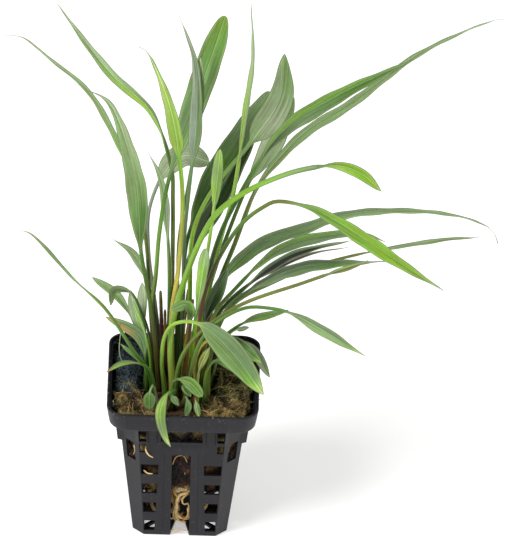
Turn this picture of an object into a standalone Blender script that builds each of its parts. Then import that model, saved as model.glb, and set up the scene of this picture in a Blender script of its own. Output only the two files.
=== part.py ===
# Potted cryptocoryne: a water plant in a black square net pot, in metres, +Z up.
# The origin is the centre of the pot's underside; the pot's front face looks along -Y.
import math

import bmesh
import bpy
from mathutils import Vector, noise

MM = 0.001

# Driving sizes of the pot, in millimetres
POT_HEIGHT = 58.0
FOOT_HALF = 17.0            # half the width across the flats at the floor
SHOULDER_Z = 50.5           # where the body meets the collar
SHOULDER_HALF = 23.0
FOOT_CORNER = 4.0           # how far the corner facets cut in, at the floor and the shoulder
SHOULDER_CORNER = 7.0
COLLAR_FOOT_HALF = 26.3
RIM_HALF = 27.4
COLLAR_RADIUS = 6.5
WALL = 1.2
LEDGE = 1.3                 # thickness of the step that joins body and collar
LIP_HEIGHT = 1.6            # the thin lip at the top of the collar
LIP_WALL = 0.8
CORNER_STEPS = 3            # facets round each corner of the collar
POT_OVERLAP = 1.0           # how far a cutter runs past what it cuts

# Openings in each side of the pot: (height of the top edge, nearer and farther edge from the middle)
WINDOW_HEIGHT = 4.5
SIDE_WINDOWS = [
    (48.6, 12.8, 15.8),
    (42.9, 12.8, 15.6),
    (32.7, 8.2, 14.9),
    (23.8, 8.6, 14.6),
    (14.9, 9.0, 14.3),
    (6.4, 9.0, 14.1),
]
TOP_WINDOW_HALF = 7.5
TOP_WINDOW_TOP = 48.4
SLOT_HALF = 3.4
SLOT_TOP = 37.5
CORNER_WINDOW_HALF = 2.2
CORNER_WINDOW_TOP = 41.5
CORNER_WINDOW_HEIGHT = 8.0
PAD_HALF = 8.6              # raised frame round the top window
PAD_TOP = 50.4
PAD_FOOT = 42.8
PAD_PROUD = 1.0

# Openings in the floor
FLOOR_SLOT_INNER = 7.5
FLOOR_SLOT_INNER_HALF = 1.2
FLOOR_HOLE_INNER = 6.5
FLOOR_HOLE_OUTER = 14.2
FLOOR_RIB_HALF = 1.1

# Rock wool plug and the crown that the leaves grow from
PLUG_FOOT = 19.5
PLUG_GAP = 0.7
PLUG_CUTS = 6
PLUG_NECK = 52.6            # height where it spreads out over the pot's ledge
PLUG_SPREAD = 24.3
PLUG_TOP = 52.6
LOBE_RISE = 2.4
CROWN_CENTRE = (-2.0, -0.5, 47.6)
CROWN_RADII = (13.0, 11.0, 3.6)
SEAT_MARGIN = (2.0, 2.6, 0.8)   # room round the crown in its hollow
SEAT_TOP = 60.0
SEAT_FRONT = 3.5            # extra length of the hollow at the front
SEAT_SIDES = 16
GAP = 0.35                  # air between pieces that rest on each other

# Leaf blades
BLADE_EDGE = 0.36           # thickness at the edge and at the midrib
BLADE_RIB = 0.8
BLADE_FOLD = math.radians(14)
STALK_STEP = 17.0           # aim for the spacing of the sections
BLADE_STEP = 9.5
MOST_SECTIONS = 10
VIEW_TILT = math.radians(33)
FRONT = Vector((0.0, -math.cos(VIEW_TILT), math.sin(VIEW_TILT)))

# Colours
BLACK_PLASTIC = (0.030, 0.029, 0.035)
ROCK_WOOL = (0.115, 0.095, 0.050)
BROWN_CROWN = (0.075, 0.040, 0.022)
CREAM_ROOT = (0.560, 0.400, 0.190)
TINTS = {
    "green": (0.120, 0.260, 0.040),
    "dark": (0.040, 0.130, 0.025),
    "grey": (0.200, 0.300, 0.160),
    "lime": (0.360, 0.560, 0.080),
    "pale": (0.380, 0.480, 0.290),
    "brown": (0.230, 0.130, 0.050),
}

# Every leaf, from its seat on the crown to its tip, in millimetres.
# route: places along the middle, (across, back, up); the first has no height, as it stands on the crown
# blade: length of the flat part; width and where it is widest, as a share of the blade
# turn: how far the face is turned from the front, in degrees, at even steps from blade foot to tip
# stalk: thickness of the stalk
LEAVES = {
    "leaf_wisp_far_left": dict(
        route=[(-10, 7.5), (-13, 13, 81), (-15, 18, 104), (-20, 22, 126), (-36, 25, 161), (-51, 26, 175), (-61, 27, 183),
               (-68, 27, 184)],
        blade=82, width=4.4, widest=0.35, turn=(58, 62), stalk=1.5, tint="grey"),
    "leaf_high_left": dict(
        route=[(-4.5, 7), (-5, 11, 86), (-5.6, 16, 123), (-6.4, 19, 134), (-14, 27, 152.5), (-28, 34, 163),
               (-37, 39, 172), (-49, 44, 187)],
        blade=68, width=6.2, widest=0.5, turn=(50, 44, 40), stalk=1.7, tint="lime"),
    "leaf_left_broad": dict(
        route=[(-8.8, -0.5), (-11.6, -4, 84), (-14.4, -8, 103), (-16.5, -11, 118), (-19.4, -17, 154), (-28, -22, 186),
               (-32, -23, 191), (-37, -24, 194)],
        blade=86, width=8.0, widest=0.38, turn=(10, 24, 30), stalk=1.6, tint="grey"),
    "leaf_lime_upright": dict(
        route=[(-3.5, -1.5), (-5, -3, 84), (-3, -5, 106), (-2, -7, 134), (-3, -8, 151), (-8, -10, 181),
               (-16, -12, 203), (-19, -13, 206)],
        blade=62, width=5.0, widest=0.3, turn=(25, 30, 60), stalk=1.8, tint="lime"),
    "leaf_grey_vertical": dict(
        route=[(-1.5, 2), (-1, 3, 88), (-1, 4, 116), (0, 5, 132), (2, 8, 162), (1, 12, 185), (-5, 16, 201)],
        blade=66, width=5.0, widest=0.4, turn=(20, 26, 50), stalk=1.5, tint="grey"),
    "leaf_top_broad": dict(
        route=[(-6, -1), (-12, 1, 81), (-11, 3, 99), (-10, 5, 117), (-7, 9, 137), (3, 19, 168), (11.5, 28, 194)],
        blade=66, width=9.6, widest=0.62, turn=(30, 20, 20), stalk=1.7, tint="green"),
    "leaf_narrow_mid": dict(
        route=[(-3, 4.2), (-3, 6, 86), (-3, 8, 111), (0, 9, 135.6), (3, 10.5, 161), (3, 12, 186)],
        blade=38, width=3.6, widest=0.6, turn=(40, 25), stalk=1.3, tint="pale"),
    "leaf_far_back": dict(
        route=[(-7, 7.6), (-11, 18, 76), (-14, 30, 92), (-14, 38, 105), (-8, 46, 117), (-2, 50, 120), (7, 54, 115)],
        blade=26, width=9.0, widest=0.45, turn=(25, 15), stalk=1.5, tint="pale"),
    "leaf_tall_thin": dict(
        route=[(0.4, 3.2), (7.6, 4.6, 88), (12, 5, 113.4), (16, 6, 132), (19.8, 10, 166), (21.8, 12, 186), (20.4, 14, 210)],
        blade=68, width=4.4, widest=0.4, turn=(58, 60, 72), stalk=1.7, tint="lime"),
    "leaf_dark_diagonal": dict(
        route=[(-1, 6.5), (-1, 10, 84), (0, 16, 106), (8, 24, 126), (15, 29, 137), (28, 38, 156)],
        blade=60, width=9.6, widest=0.45, turn=(-25, -28, -30), stalk=1.6, tint="dark"),
    "leaf_dark_lower": dict(
        route=[(-2, 8.5), (-1, 18, 83), (1, 26, 93), (6, 34, 101), (13, 42, 113), (26, 53, 137)],
        blade=60, width=8.6, widest=0.4, turn=(-30, -35), stalk=1.6, tint="dark"),
    "leaf_pale_wide": dict(
        route=[(1.9, 6.2), (1.4, 6.4, 85.8), (2, 10, 113), (6, 13, 124), (13, 16, 135), (20.7, 18, 145), (31.7, 23, 162),
               (33, 29, 178)],
        blade=42, width=9.8, widest=0.46, turn=(-25, -18, -25), stalk=1.8, tint="pale"),
    "leaf_pale_behind": dict(
        route=[(1.5, 8), (9, 18, 87), (15, 28, 103), (22, 38, 118), (29, 44, 129), (37, 52, 145)],
        blade=36, width=9.0, widest=0.5, turn=(-30, -30), stalk=1.6, tint="pale"),
    "leaf_long_right": dict(
        route=[(2, 0), (5, 0, 82), (10.5, 2, 113), (16.5, 4, 129), (32, 6, 158), (50, 7, 173), (81, 9, 191)],
        blade=76, width=7.4, widest=0.42, turn=(-48, -36, -38), stalk=1.8, tint="green"),
    "leaf_longest_right": dict(
        route=[(3.8, 2.8), (11, 7, 90.4), (17, 9, 109), (24, 14, 129), (29, 17, 136.5), (41, 22, 149),
               (57, 28, 158), (82, 34, 177), (109, 40, 188), (112, 40, 188)],
        blade=122, width=6.0, widest=0.4, turn=(-44, -54, -60), stalk=1.8, tint="grey"),
    "leaf_arch_bright": dict(
        route=[(-3.5, -5), (-5, -7, 78), (-2, -9, 99), (9, -13, 134), (18, -15, 145), (29, -18, 154), (41, -21, 161),
               (54, -25, 165.5), (62, -28, 164), (69, -31, 159)],
        blade=28, width=5.0, widest=0.55, turn=(-70, -35, -20), stalk=2.4, tint="lime"),
    "leaf_arch_large": dict(
        route=[(2.5, -3), (7, -5, 98), (15, -9, 122), (21, -13, 134), (27, -17, 142), (31, -19.5, 146), (37, -23, 148),
               (47, -29, 148.5),
               (78, -44, 136), (92, -50, 130)],
        blade=68, width=7.0, widest=0.55, turn=(-45, -40, -35), stalk=1.7, tint="lime"),
    "leaf_grey_right": dict(
        route=[(4, 6), (8, 8, 85), (21, 12, 102.5), (32, 14, 109.5), (40, 15, 112), (56, 18, 117), (76, 22, 117),
               (94, 25, 114), (106, 27, 109), (110, 28, 105), (112, 28, 100)],
        blade=124, width=7.0, widest=0.25, turn=(-30, -45, -55, -60, -75), stalk=1.8, tint="grey"),
    "leaf_green_right": dict(
        route=[(5, -2), (10, -3, 85), (17, -5, 98), (35, -9, 120), (62, -14, 130), (71, -16, 128)],
        blade=62, width=6.0, widest=0.5, turn=(-50, -42), stalk=1.6, tint="green"),
    "leaf_dark_right": dict(
        route=[(6, 3), (11, 3, 81), (18, 4, 90), (37, 7, 106), (60, 11, 111)],
        blade=46, width=5.4, widest=0.4, turn=(-55, -55), stalk=1.5, tint="dark"),
    "leaf_thin_right": dict(
        route=[(8.2, 3.6), (12, 9, 78), (19, 13, 86), (42, 21, 97), (58, 26, 98)],
        blade=40, width=3.0, widest=0.4, turn=(-62, -62), stalk=1.3, tint="dark"),
    "leaf_broad_right": dict(
        route=[(4.6, -4), (13, -8, 88), (19, -11, 99), (41, -19, 118), (71, -29, 128)],
        blade=62, width=8.0, widest=0.45, turn=(-56, -54), stalk=1.6, tint="dark"),
    "leaf_far_right": dict(
        route=[(6.4, 5.8), (15.5, 14.5, 77), (32, 28, 81), (51, 36, 85), (91, 48, 88), (106, 52, 87)],
        blade=48, width=3.8, widest=0.6, turn=(-66, -64), stalk=1.3, tint="grey"),
    "leaf_olive_stalk": dict(
        route=[(-3.5, -7.2), (0, -11, 75), (17, -20, 100), (43, -30, 119), (65, -38, 134)],
        blade=20, width=3.6, widest=0.45, turn=(-58, -58), stalk=1.6, tint="green"),
    "leaf_droop_right": dict(
        route=[(0.3, -8.6), (7, -18, 87), (21, -27, 105), (30, -31, 108), (38, -34, 108), (50, -39, 104), (65, -44, 97)],
        blade=35, width=6.0, widest=0.5, turn=(-55, -40), stalk=1.5, tint="green"),
    "leaf_short_right": dict(
        route=[(8.8, -5.5), (10.5, -7.4, 74), (17, -8, 82), (37, -16, 97.3)],
        blade=22, width=4.8, widest=0.5, turn=(-52, -52), stalk=1.3, tint="green"),
    "leaf_hook_right": dict(
        route=[(9, 1.5), (13.5, 10, 65), (17, 16, 67), (23, 26, 62)],
        blade=10, width=3.0, widest=0.5, turn=(-50, -50), stalk=1.2, tint="pale"),
    "leaf_front_droop": dict(
        route=[(-6.5, -4), (-8, -6, 68), (-7, -9, 81), (-4, -11, 87), (5, -18, 92), (18, -29, 86), (29, -36, 74)],
        blade=38, width=9.0, widest=0.45, turn=(-38, -26, -20), stalk=1.5, tint="grey"),
    "leaf_behind_droop": dict(
        route=[(5.5, -5.8), (4, -8.4, 69.2), (7.6, -11.4, 80.2), (14, -12.6, 83), (28, -9, 70)],
        blade=24, width=6.2, widest=0.5, turn=(-36, -26), stalk=1.3, tint="green"),
    "leaf_grey_low": dict(
        route=[(8, -1), (9, 0, 67), (16, 2, 72), (24, 2, 69), (31, -3, 60)],
        blade=20, width=4.4, widest=0.5, turn=(-35, -20), stalk=1.2, tint="pale"),
    "leaf_wisp_left": dict(
        route=[(-10.5, -5), (-13, -6.5, 64), (-18, -10, 74), (-29, -17, 97), (-40, -22, 112), (-56, -28, 135),
               (-60, -29, 137)],
        blade=48, width=2.0, widest=0.7, turn=(50, 50), stalk=1.4, tint="green"),
    "leaf_grey_left": dict(
        route=[(-9.5, 4.3), (-12, 8, 73), (-13, 11, 86.5), (-19, 15, 99.5), (-27, 18, 104)],
        blade=22, width=4.4, widest=0.45, turn=(42, 45), stalk=1.4, tint="grey"),
    "leaf_small_left": dict(
        route=[(-12.8, 4.5), (-15, 9, 64), (-24, 17, 79.5), (-34, 23, 84)],
        blade=22, width=4.4, widest=0.6, turn=(42, 40), stalk=1.3, tint="green"),
    "leaf_curled_left": dict(
        route=[(-10.8, 1), (-13, 2, 74), (-16, 3, 83), (-20, 3, 91), (-26, 1, 93), (-27, -3, 89)],
        blade=14, width=4.0, widest=0.5, turn=(60, 30), stalk=1.2, tint="pale"),
    "leaf_pale_left": dict(
        route=[(-11.8, 2.6), (-13, 6, 67), (-17, 8.5, 74), (-20, 12, 86)],
        blade=18, width=4.4, widest=0.6, turn=(25, 25), stalk=1.2, tint="pale"),
    "leaf_bright_strip": dict(
        route=[(-11.4, -2.2), (-13, -1.4, 71), (-19, 2, 88)],
        blade=16, width=2.4, widest=0.5, turn=(50, 50), stalk=1.1, tint="lime"),
    "leaf_browned": dict(
        route=[(-13.8, 0.5), (-14, 3, 63), (-16.5, 6, 70.5), (-29, 14, 73)],
        blade=24, width=6.6, widest=0.4, turn=(30, 35), stalk=1.4, tint="brown"),
    "leaf_low_left": dict(
        route=[(-13.5, -2), (-14.5, -1.5, 63), (-23, 1, 70)],
        blade=14, width=3.6, widest=0.5, turn=(50, 55), stalk=1.1, tint="green"),
    "leaf_short_back": dict(
        route=[(-10.6, 6), (-14.8, 11.6, 71.2), (-16, 22, 83)],
        blade=16, width=4.4, widest=0.6, turn=(35, 35), stalk=1.2, tint="green"),
    "leaf_orange_tip": dict(
        route=[(-9.5, -7.5), (-13, -9.5, 67), (-22, -13, 71), (-28, -15, 68)],
        blade=14, width=2.6, widest=0.5, turn=(45, 45), stalk=1.1, tint="lime"),
    "leaf_oval": dict(
        route=[(-8.5, -9.8), (-11, -15, 63), (-12, -18, 62), (-12, -20, 56)],
        blade=7, width=4.6, widest=0.45, turn=(10, 10), stalk=0.9, tint="lime"),
    "leaf_over_rim": dict(
        route=[(-5, -10.5), (-3, -19, 64), (-6, -24, 65), (-8, -29, 60), (-6, -30.5, 51), (-4, -30.5, 47)],
        blade=24, width=4.0, widest=0.45, turn=(-30, 25, 30), stalk=1.1, tint="lime"),
    "leaf_crown_front": dict(
        route=[(-3, -10), (-3, -14, 65), (2, -17, 66), (7, -20, 62)],
        blade=12, width=4.8, widest=0.5, turn=(-25, -20), stalk=1.1, tint="lime"),
    "leaf_plantlet_left": dict(
        route=[(1.5, -10), (1, -17, 60), (2, -20, 58), (1, -22, 54)],
        blade=8, width=2.6, widest=0.5, turn=(10, 10), stalk=0.9, tint="green"),
    "leaf_plantlet_right": dict(
        route=[(4.5, -10), (4, -16, 60), (5, -20, 58), (6, -22, 54)],
        blade=7, width=2.4, widest=0.5, turn=(-15, -15), stalk=0.9, tint="lime"),
    "leaf_yellow_short": dict(
        route=[(5, -8.2), (4.5, -10.5, 67.5), (8, -12.5, 78.5)],
        blade=14, width=3.0, widest=0.55, turn=(20, 20), stalk=1.1, tint="lime"),
    "leaf_low_arch": dict(
        route=[(7.4, -7.4), (8.5, -10.4, 67.5), (12, -11.5, 72), (23, -13, 66)],
        blade=18, width=4.0, widest=0.5, turn=(-58, -50), stalk=1.2, tint="green"),
    "leaf_folded": dict(
        route=[(0.2, -5.6), (1.4, -9.4, 77.3), (2, -12.4, 92.3), (0, -15, 98), (-5, -17, 97)],
        blade=16, width=4.8, widest=0.5, turn=(50, 20), stalk=1.2, tint="dark"),
    "leaf_short_bright": dict(
        route=[(-0.4, -0.6), (5, -3.2, 92.7), (9, -4.5, 130), (11, -6, 159)],
        blade=28, width=4.8, widest=0.5, turn=(35, 30), stalk=1.5, tint="lime"),
    "leaf_upright_mid": dict(
        route=[(0.8, -4), (3, -8, 76.6), (4, -10.5, 91), (7, -14, 121.6)],
        blade=34, width=4.8, widest=0.72, turn=(45, 30), stalk=1.8, tint="lime"),
    "leaf_dark_short": dict(
        route=[(4.5, 0.4), (7, 0, 81), (10, 0, 91), (15, 2, 104)],
        blade=26, width=6.2, widest=0.5, turn=(-35, -35), stalk=1.4, tint="dark"),
    "leaf_mid_left": dict(
        route=[(-6.5, 3.8), (-6, 6.5, 86), (-7, 12, 108), (-10, 18, 130), (-15, 22, 139)],
        blade=36, width=4.4, widest=0.45, turn=(45, 45), stalk=1.4, tint="grey"),
}

# Roots in the lower half of the pot: (thickness, places along the middle)
ROOTS = {
    "root_front_loop": (2.0, [(3, -11, 18.2), (0, -14, 15), (-2, -14.5, 10), (0, -14, 6), (3, -13, 5), (3, -11, 9)]),
    "root_front_thick": (2.4, [(-3, -9, 18.4), (-3, -11.5, 13), (-1, -11, 8), (-2, -8, 4.5), (-6, -6, 3.4)]),
    "root_left_side": (1.5, [(-9, -6, 18.2), (-11, -8, 13), (-10, -11, 8), (-6, -12, 4), (0, -10, 3)]),
    "root_right_side": (1.4, [(8, -3, 18.2), (10, -6, 12), (9, -9, 7), (5, -9, 3.6), (4, -4, 3.2)]),
    "root_back_loop": (1.8, [(2, 9, 18.2), (-2, 11, 12), (-5, 9, 6), (-3, 5, 3.6), (3, 6, 3.4), (8, 8, 6)]),
}


def clear_scene():
    for old in list(bpy.data.objects):
        bpy.data.objects.remove(old, do_unlink=True)


def new_collection(name):
    group = bpy.data.collections.new(name)
    bpy.context.scene.collection.children.link(group)
    return group


def plain_material(name, colour, roughness):
    material = bpy.data.materials.new(name)
    material.use_nodes = True
    shader = material.node_tree.nodes["Principled BSDF"]
    shader.inputs["Base Color"].default_value = (*colour, 1.0)
    shader.inputs["Roughness"].default_value = roughness
    shader.inputs["Metallic"].default_value = 0.0
    return material


def mesh_object(name, bm, group, material=None):
    mesh = bpy.data.meshes.new(name)
    bm.to_mesh(mesh)
    bm.free()
    obj = bpy.data.objects.new(name, mesh)
    group.objects.link(obj)
    if material:
        mesh.materials.append(material)
    return obj


def skin_rings(bm, rings):
    """Closed skin over a stack of rings with the same number of points, capped at both ends."""
    loops = [[bm.verts.new(Vector(p) * MM) for p in ring] for ring in rings]
    count = len(loops[0])
    for lower, upper in zip(loops, loops[1:]):
        for i in range(count):
            j = (i + 1) % count
            bm.faces.new((lower[i], lower[j], upper[j], upper[i]))
    bm.faces.new(list(reversed(loops[0])))
    bm.faces.new(loops[-1])
    bmesh.ops.recalc_face_normals(bm, faces=bm.faces)


def square_ring(half, corner, z, round_corner):
    """A square with its corners rounded or cut flat, as points anticlockwise from above."""
    points = []
    for quarter in range(4):
        angle = quarter * math.pi / 2
        for step in range(CORNER_STEPS + 1):
            share = step / CORNER_STEPS
            if round_corner:
                turn = share * math.pi / 2
                x = half - corner + corner * math.cos(turn)
                y = half - corner + corner * math.sin(turn)
            else:
                x = half - corner * share
                y = half - corner * (1 - share)
            points.append((x * math.cos(angle) - y * math.sin(angle),
                           x * math.sin(angle) + y * math.cos(angle), z))
    return points


def body_half(z):
    return FOOT_HALF + (SHOULDER_HALF - FOOT_HALF) * z / SHOULDER_Z


def body_corner(z):
    return FOOT_CORNER + (SHOULDER_CORNER - FOOT_CORNER) * z / SHOULDER_Z


def body_ring(z, inset):
    """The body's outline at height z, set in by the wall; the facets keep their own thickness."""
    half = body_half(z) - inset
    corner = body_corner(z) - inset * (2 - math.sqrt(2))
    return square_ring(half, corner, z, False)


def pot_shell(group, material):
    lip_z = POT_HEIGHT - LIP_HEIGHT
    floor_z = WALL
    outer = [
        body_ring(0.0, 0.0),
        body_ring(SHOULDER_Z, 0.0),
        square_ring(COLLAR_FOOT_HALF - 0.5, COLLAR_RADIUS, SHOULDER_Z, True),
        square_ring(COLLAR_FOOT_HALF, COLLAR_RADIUS, SHOULDER_Z + 0.6, True),
        square_ring(RIM_HALF, COLLAR_RADIUS + 0.4, POT_HEIGHT - 0.5, True),
        square_ring(RIM_HALF - 0.25, COLLAR_RADIUS + 0.2, POT_HEIGHT, True),
    ]
    inner = [
        square_ring(RIM_HALF - LIP_WALL, COLLAR_RADIUS, POT_HEIGHT, True),
        square_ring(RIM_HALF - LIP_WALL - 0.2, COLLAR_RADIUS - 0.2, lip_z, True),
        square_ring(RIM_HALF - LIP_WALL - 0.7, COLLAR_RADIUS - 0.5, lip_z, True),
        square_ring(COLLAR_FOOT_HALF - WALL, COLLAR_RADIUS - 0.8, SHOULDER_Z + LEDGE, True),
        body_ring(SHOULDER_Z, WALL)[:],
    ]
    inner[-1] = [(x, y, SHOULDER_Z + LEDGE) for x, y, _ in inner[-1]]
    inner.append(body_ring(floor_z, WALL))
    bm = bmesh.new()
    skin_rings(bm, outer + inner)
    return mesh_object("net_pot", bm, group, material)


def box_between(bm, low, high, turn=0.0):
    """A box from one corner to the other, in millimetres, turned about the pot's axis."""
    made = bmesh.ops.create_cube(bm, size=1.0)["verts"]
    size = [b - a for a, b in zip(low, high)]
    middle = [(a + b) / 2 for a, b in zip(low, high)]
    for v in made:
        x, y, z = (v.co[i] * size[i] + middle[i] for i in range(3))
        v.co = Vector((x * math.cos(turn) - y * math.sin(turn),
                       x * math.sin(turn) + y * math.cos(turn), z)) * MM


def prism(bm, outline, low, high, turn=0.0):
    """A flat outline in (x, y), drawn anticlockwise, from height low to height high."""
    rings = []
    for z in (low, high):
        rings.append([(x * math.cos(turn) - y * math.sin(turn),
                       x * math.sin(turn) + y * math.cos(turn), z) for x, y in outline])
    skin_rings(bm, rings)


def pot_pads(group):
    """The raised frames under the collar, one in the middle of each side."""
    bm = bmesh.new()
    for side in range(4):
        turn = side * math.pi / 2
        proud = body_half(PAD_FOOT) + PAD_PROUD
        box_between(bm, (-PAD_HALF, -proud, PAD_FOOT), (PAD_HALF, -proud + PAD_PROUD + 0.1, PAD_TOP), turn)
    return mesh_object("cutter_pads", bm, group)


def pot_windows(group):
    """Every opening in the walls and the floor, the same on all four sides."""
    bm = bmesh.new()
    far = RIM_HALF + POT_OVERLAP
    for side in range(4):
        turn = side * math.pi / 2
        for top, near, wide in SIDE_WINDOWS:
            inside = body_half(top - WINDOW_HEIGHT) - WALL - POT_OVERLAP
            for a, b in ((near, wide), (-wide, -near)):
                box_between(bm, (a, -far, top - WINDOW_HEIGHT), (b, -inside, top), turn)
        inside = body_half(TOP_WINDOW_TOP - WINDOW_HEIGHT) - WALL - POT_OVERLAP
        box_between(bm, (-TOP_WINDOW_HALF, -far, TOP_WINDOW_TOP - WINDOW_HEIGHT),
                    (TOP_WINDOW_HALF, -inside, TOP_WINDOW_TOP), turn)
        box_between(bm, (-SLOT_HALF, -far, -POT_OVERLAP),
                    (SLOT_HALF, -(FOOT_HALF - WALL), SLOT_TOP), turn)
        diagonal = turn + math.pi / 4
        reach = body_half(CORNER_WINDOW_TOP) * math.sqrt(2) + POT_OVERLAP
        flat = (body_half(CORNER_WINDOW_TOP - CORNER_WINDOW_HEIGHT)
                - body_corner(CORNER_WINDOW_TOP) / 2) * math.sqrt(2) - WALL - POT_OVERLAP
        box_between(bm, (-CORNER_WINDOW_HALF, -reach, CORNER_WINDOW_TOP - CORNER_WINDOW_HEIGHT),
                    (CORNER_WINDOW_HALF, -flat, CORNER_WINDOW_TOP), diagonal)
    return mesh_object("cutter_windows", bm, group)


def floor_openings(group):
    """Slots that run in from the middle of each side, and two three-cornered holes in each corner."""
    bm = bmesh.new()
    edge = FOOT_HALF - WALL + 0.01
    a, b, r = FLOOR_HOLE_INNER, FLOOR_HOLE_OUTER, FLOOR_RIB_HALF * math.sqrt(2)
    for side in range(4):
        turn = side * math.pi / 2
        slot = [(-SLOT_HALF, -edge), (SLOT_HALF, -edge),
                (FLOOR_SLOT_INNER_HALF, -FLOOR_SLOT_INNER), (-FLOOR_SLOT_INNER_HALF, -FLOOR_SLOT_INNER)]
        prism(bm, slot, -POT_OVERLAP, WALL + POT_OVERLAP, turn)
        prism(bm, [(a + r, a), (b, a), (b, b - r)], -POT_OVERLAP, WALL + POT_OVERLAP, turn)
        prism(bm, [(a, a + r), (b - r, b), (a, b)], -POT_OVERLAP, WALL + POT_OVERLAP, turn)
    return mesh_object("cutter_floor", bm, group)


def cut(obj, other, operation):
    step = obj.modifiers.new(other.name, 'BOOLEAN')
    step.operation = operation
    step.solver = 'EXACT'
    step.object = other
    other.hide_render = True
    other.display_type = 'WIRE'


def build_pot(parts, cutters):
    pot = pot_shell(parts, plain_material("black_plastic", BLACK_PLASTIC, 0.45))
    cut(pot, pot_pads(cutters), 'UNION')
    cut(pot, pot_windows(cutters), 'DIFFERENCE')
    cut(pot, floor_openings(cutters), 'DIFFERENCE')


def crown_top(x, y):
    """Height of the crown's upper surface at (x, y)."""
    cx, cy, cz = CROWN_CENTRE
    rx, ry, rz = CROWN_RADII
    inside = 1 - ((x - cx) / rx) ** 2 - ((y - cy) / ry) ** 2
    return cz + rz * math.sqrt(max(inside, 0.0))


def plug_top(x, y):
    """Height of the plug: two lobes, left and right of the crown, a little higher at the back."""
    bump = noise.noise(Vector((x * 0.22, y * 0.22, 3.0))) * 1.4
    lobe = LOBE_RISE * min(abs(x - CROWN_CENTRE[0]) / 16.0, 1.0) + 0.07 * y
    return PLUG_TOP + bump + lobe


def build_plug(parts, cutters):
    """A block that fills the pot's upper part, spreads over the ledge, and has a hollow for the crown."""
    bm = bmesh.new()
    bmesh.ops.create_cube(bm, size=2.0)
    bmesh.ops.subdivide_edges(bm, edges=bm.edges, cuts=PLUG_CUTS, use_grid_fill=True)
    last_row = PLUG_CUTS / (PLUG_CUTS + 1)
    for v in bm.verts:
        a, b, c = v.co
        rise = (c + 1) / 2
        z = PLUG_FOOT + (PLUG_NECK - PLUG_FOOT) * min(rise / last_row, 1.0)
        half = body_half(min(z, SHOULDER_Z)) - WALL - PLUG_GAP
        if rise > last_row + 0.01:
            half = PLUG_SPREAD
        corner = 1 - 0.17 * abs(a * b) ** 3
        x, y = a * half * corner, b * half * corner
        if rise > last_row + 0.01:
            z = max(plug_top(x, y), PLUG_NECK + 0.4 if max(abs(a), abs(b)) > 0.99 else 0.0)
        else:
            z += 1.2 * noise.noise(Vector((x * 0.2, y * 0.2, 9.0))) * (1 - rise) ** 4
        dent = 1 - 0.02 * (1 + noise.noise(Vector((x, y, z)) * 0.18))
        v.co = Vector((x * dent, y * dent, z)) * MM
    bmesh.ops.recalc_face_normals(bm, faces=bm.faces)
    plug = mesh_object("rock_wool_plug", bm, parts, plain_material("rock_wool", ROCK_WOOL, 0.95))
    cut(plug, seat_bowl(cutters), 'DIFFERENCE')


def seat_bowl(group):
    """The hollow round the crown: half a ball, longer to the front, carried straight up out of the plug."""
    cx, cy, cz = CROWN_CENTRE
    rx, ry, rz = (radius + margin for radius, margin in zip(CROWN_RADII, SEAT_MARGIN))
    rings = []
    for angle, up in ((70, 0.0), (35, 0.0), (0, 0.0), (0, SEAT_TOP - cz)):
        flat, drop = math.cos(math.radians(angle)), math.sin(math.radians(angle))
        ring = []
        for i in range(SEAT_SIDES):
            across = math.cos(i * math.tau / SEAT_SIDES)
            back = math.sin(i * math.tau / SEAT_SIDES)
            reach = ry if back > 0 else ry + SEAT_FRONT
            ring.append((cx + rx * flat * across, cy + reach * flat * back, cz - rz * drop + up))
        rings.append(ring)
    bm = bmesh.new()
    skin_rings(bm, rings)
    return mesh_object("cutter_seat", bm, group)


def ball(radii, centre):
    """A flattened ball, in millimetres."""
    bm = bmesh.new()
    bmesh.ops.create_uvsphere(bm, u_segments=14, v_segments=8, radius=1.0)
    for v in bm.verts:
        v.co = Vector([v.co[i] * radii[i] + centre[i] for i in range(3)]) * MM
    return bm


def build_crown(parts):
    mesh_object("crown", ball(CROWN_RADII, CROWN_CENTRE), parts, plain_material("crown_skin", BROWN_CROWN, 0.8))


def smooth_route(points, count):
    """Places at even steps along a smooth curve through the points, which keeps to their spacing."""
    knots = [Vector(p) for p in points]
    knots = [knots[0] * 2 - knots[1]] + knots + [knots[-1] * 2 - knots[-2]]
    dense = []
    for p0, p1, p2, p3 in zip(knots, knots[1:], knots[2:], knots[3:]):
        steps = [math.sqrt((b - a).length) for a, b in ((p0, p1), (p1, p2), (p2, p3))]
        t0, t1 = 0.0, steps[0]
        t2, t3 = t1 + steps[1], t1 + steps[1] + steps[2]
        for i in range(12):
            t = t1 + (t2 - t1) * i / 12
            a1 = p0 * ((t1 - t) / (t1 - t0)) + p1 * ((t - t0) / (t1 - t0))
            a2 = p1 * ((t2 - t) / (t2 - t1)) + p2 * ((t - t1) / (t2 - t1))
            a3 = p2 * ((t3 - t) / (t3 - t2)) + p3 * ((t - t2) / (t3 - t2))
            b1 = a1 * ((t2 - t) / (t2 - t0)) + a2 * ((t - t0) / (t2 - t0))
            b2 = a2 * ((t3 - t) / (t3 - t1)) + a3 * ((t - t1) / (t3 - t1))
            dense.append(b1 * ((t2 - t) / (t2 - t1)) + b2 * ((t - t1) / (t2 - t1)))
    dense.append(Vector(points[-1]))
    reach = [0.0]
    for a, b in zip(dense, dense[1:]):
        reach.append(reach[-1] + (b - a).length)
    return dense, reach


def at_length(dense, reach, length):
    """The place and direction at a length along the route."""
    length = min(max(length, 0.0), reach[-1])
    for i in range(len(dense) - 1):
        if reach[i + 1] >= length:
            share = (length - reach[i]) / (reach[i + 1] - reach[i])
            return dense[i].lerp(dense[i + 1], share), (dense[i + 1] - dense[i]).normalized()
    return dense[-1], (dense[-1] - dense[-2]).normalized()


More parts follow.
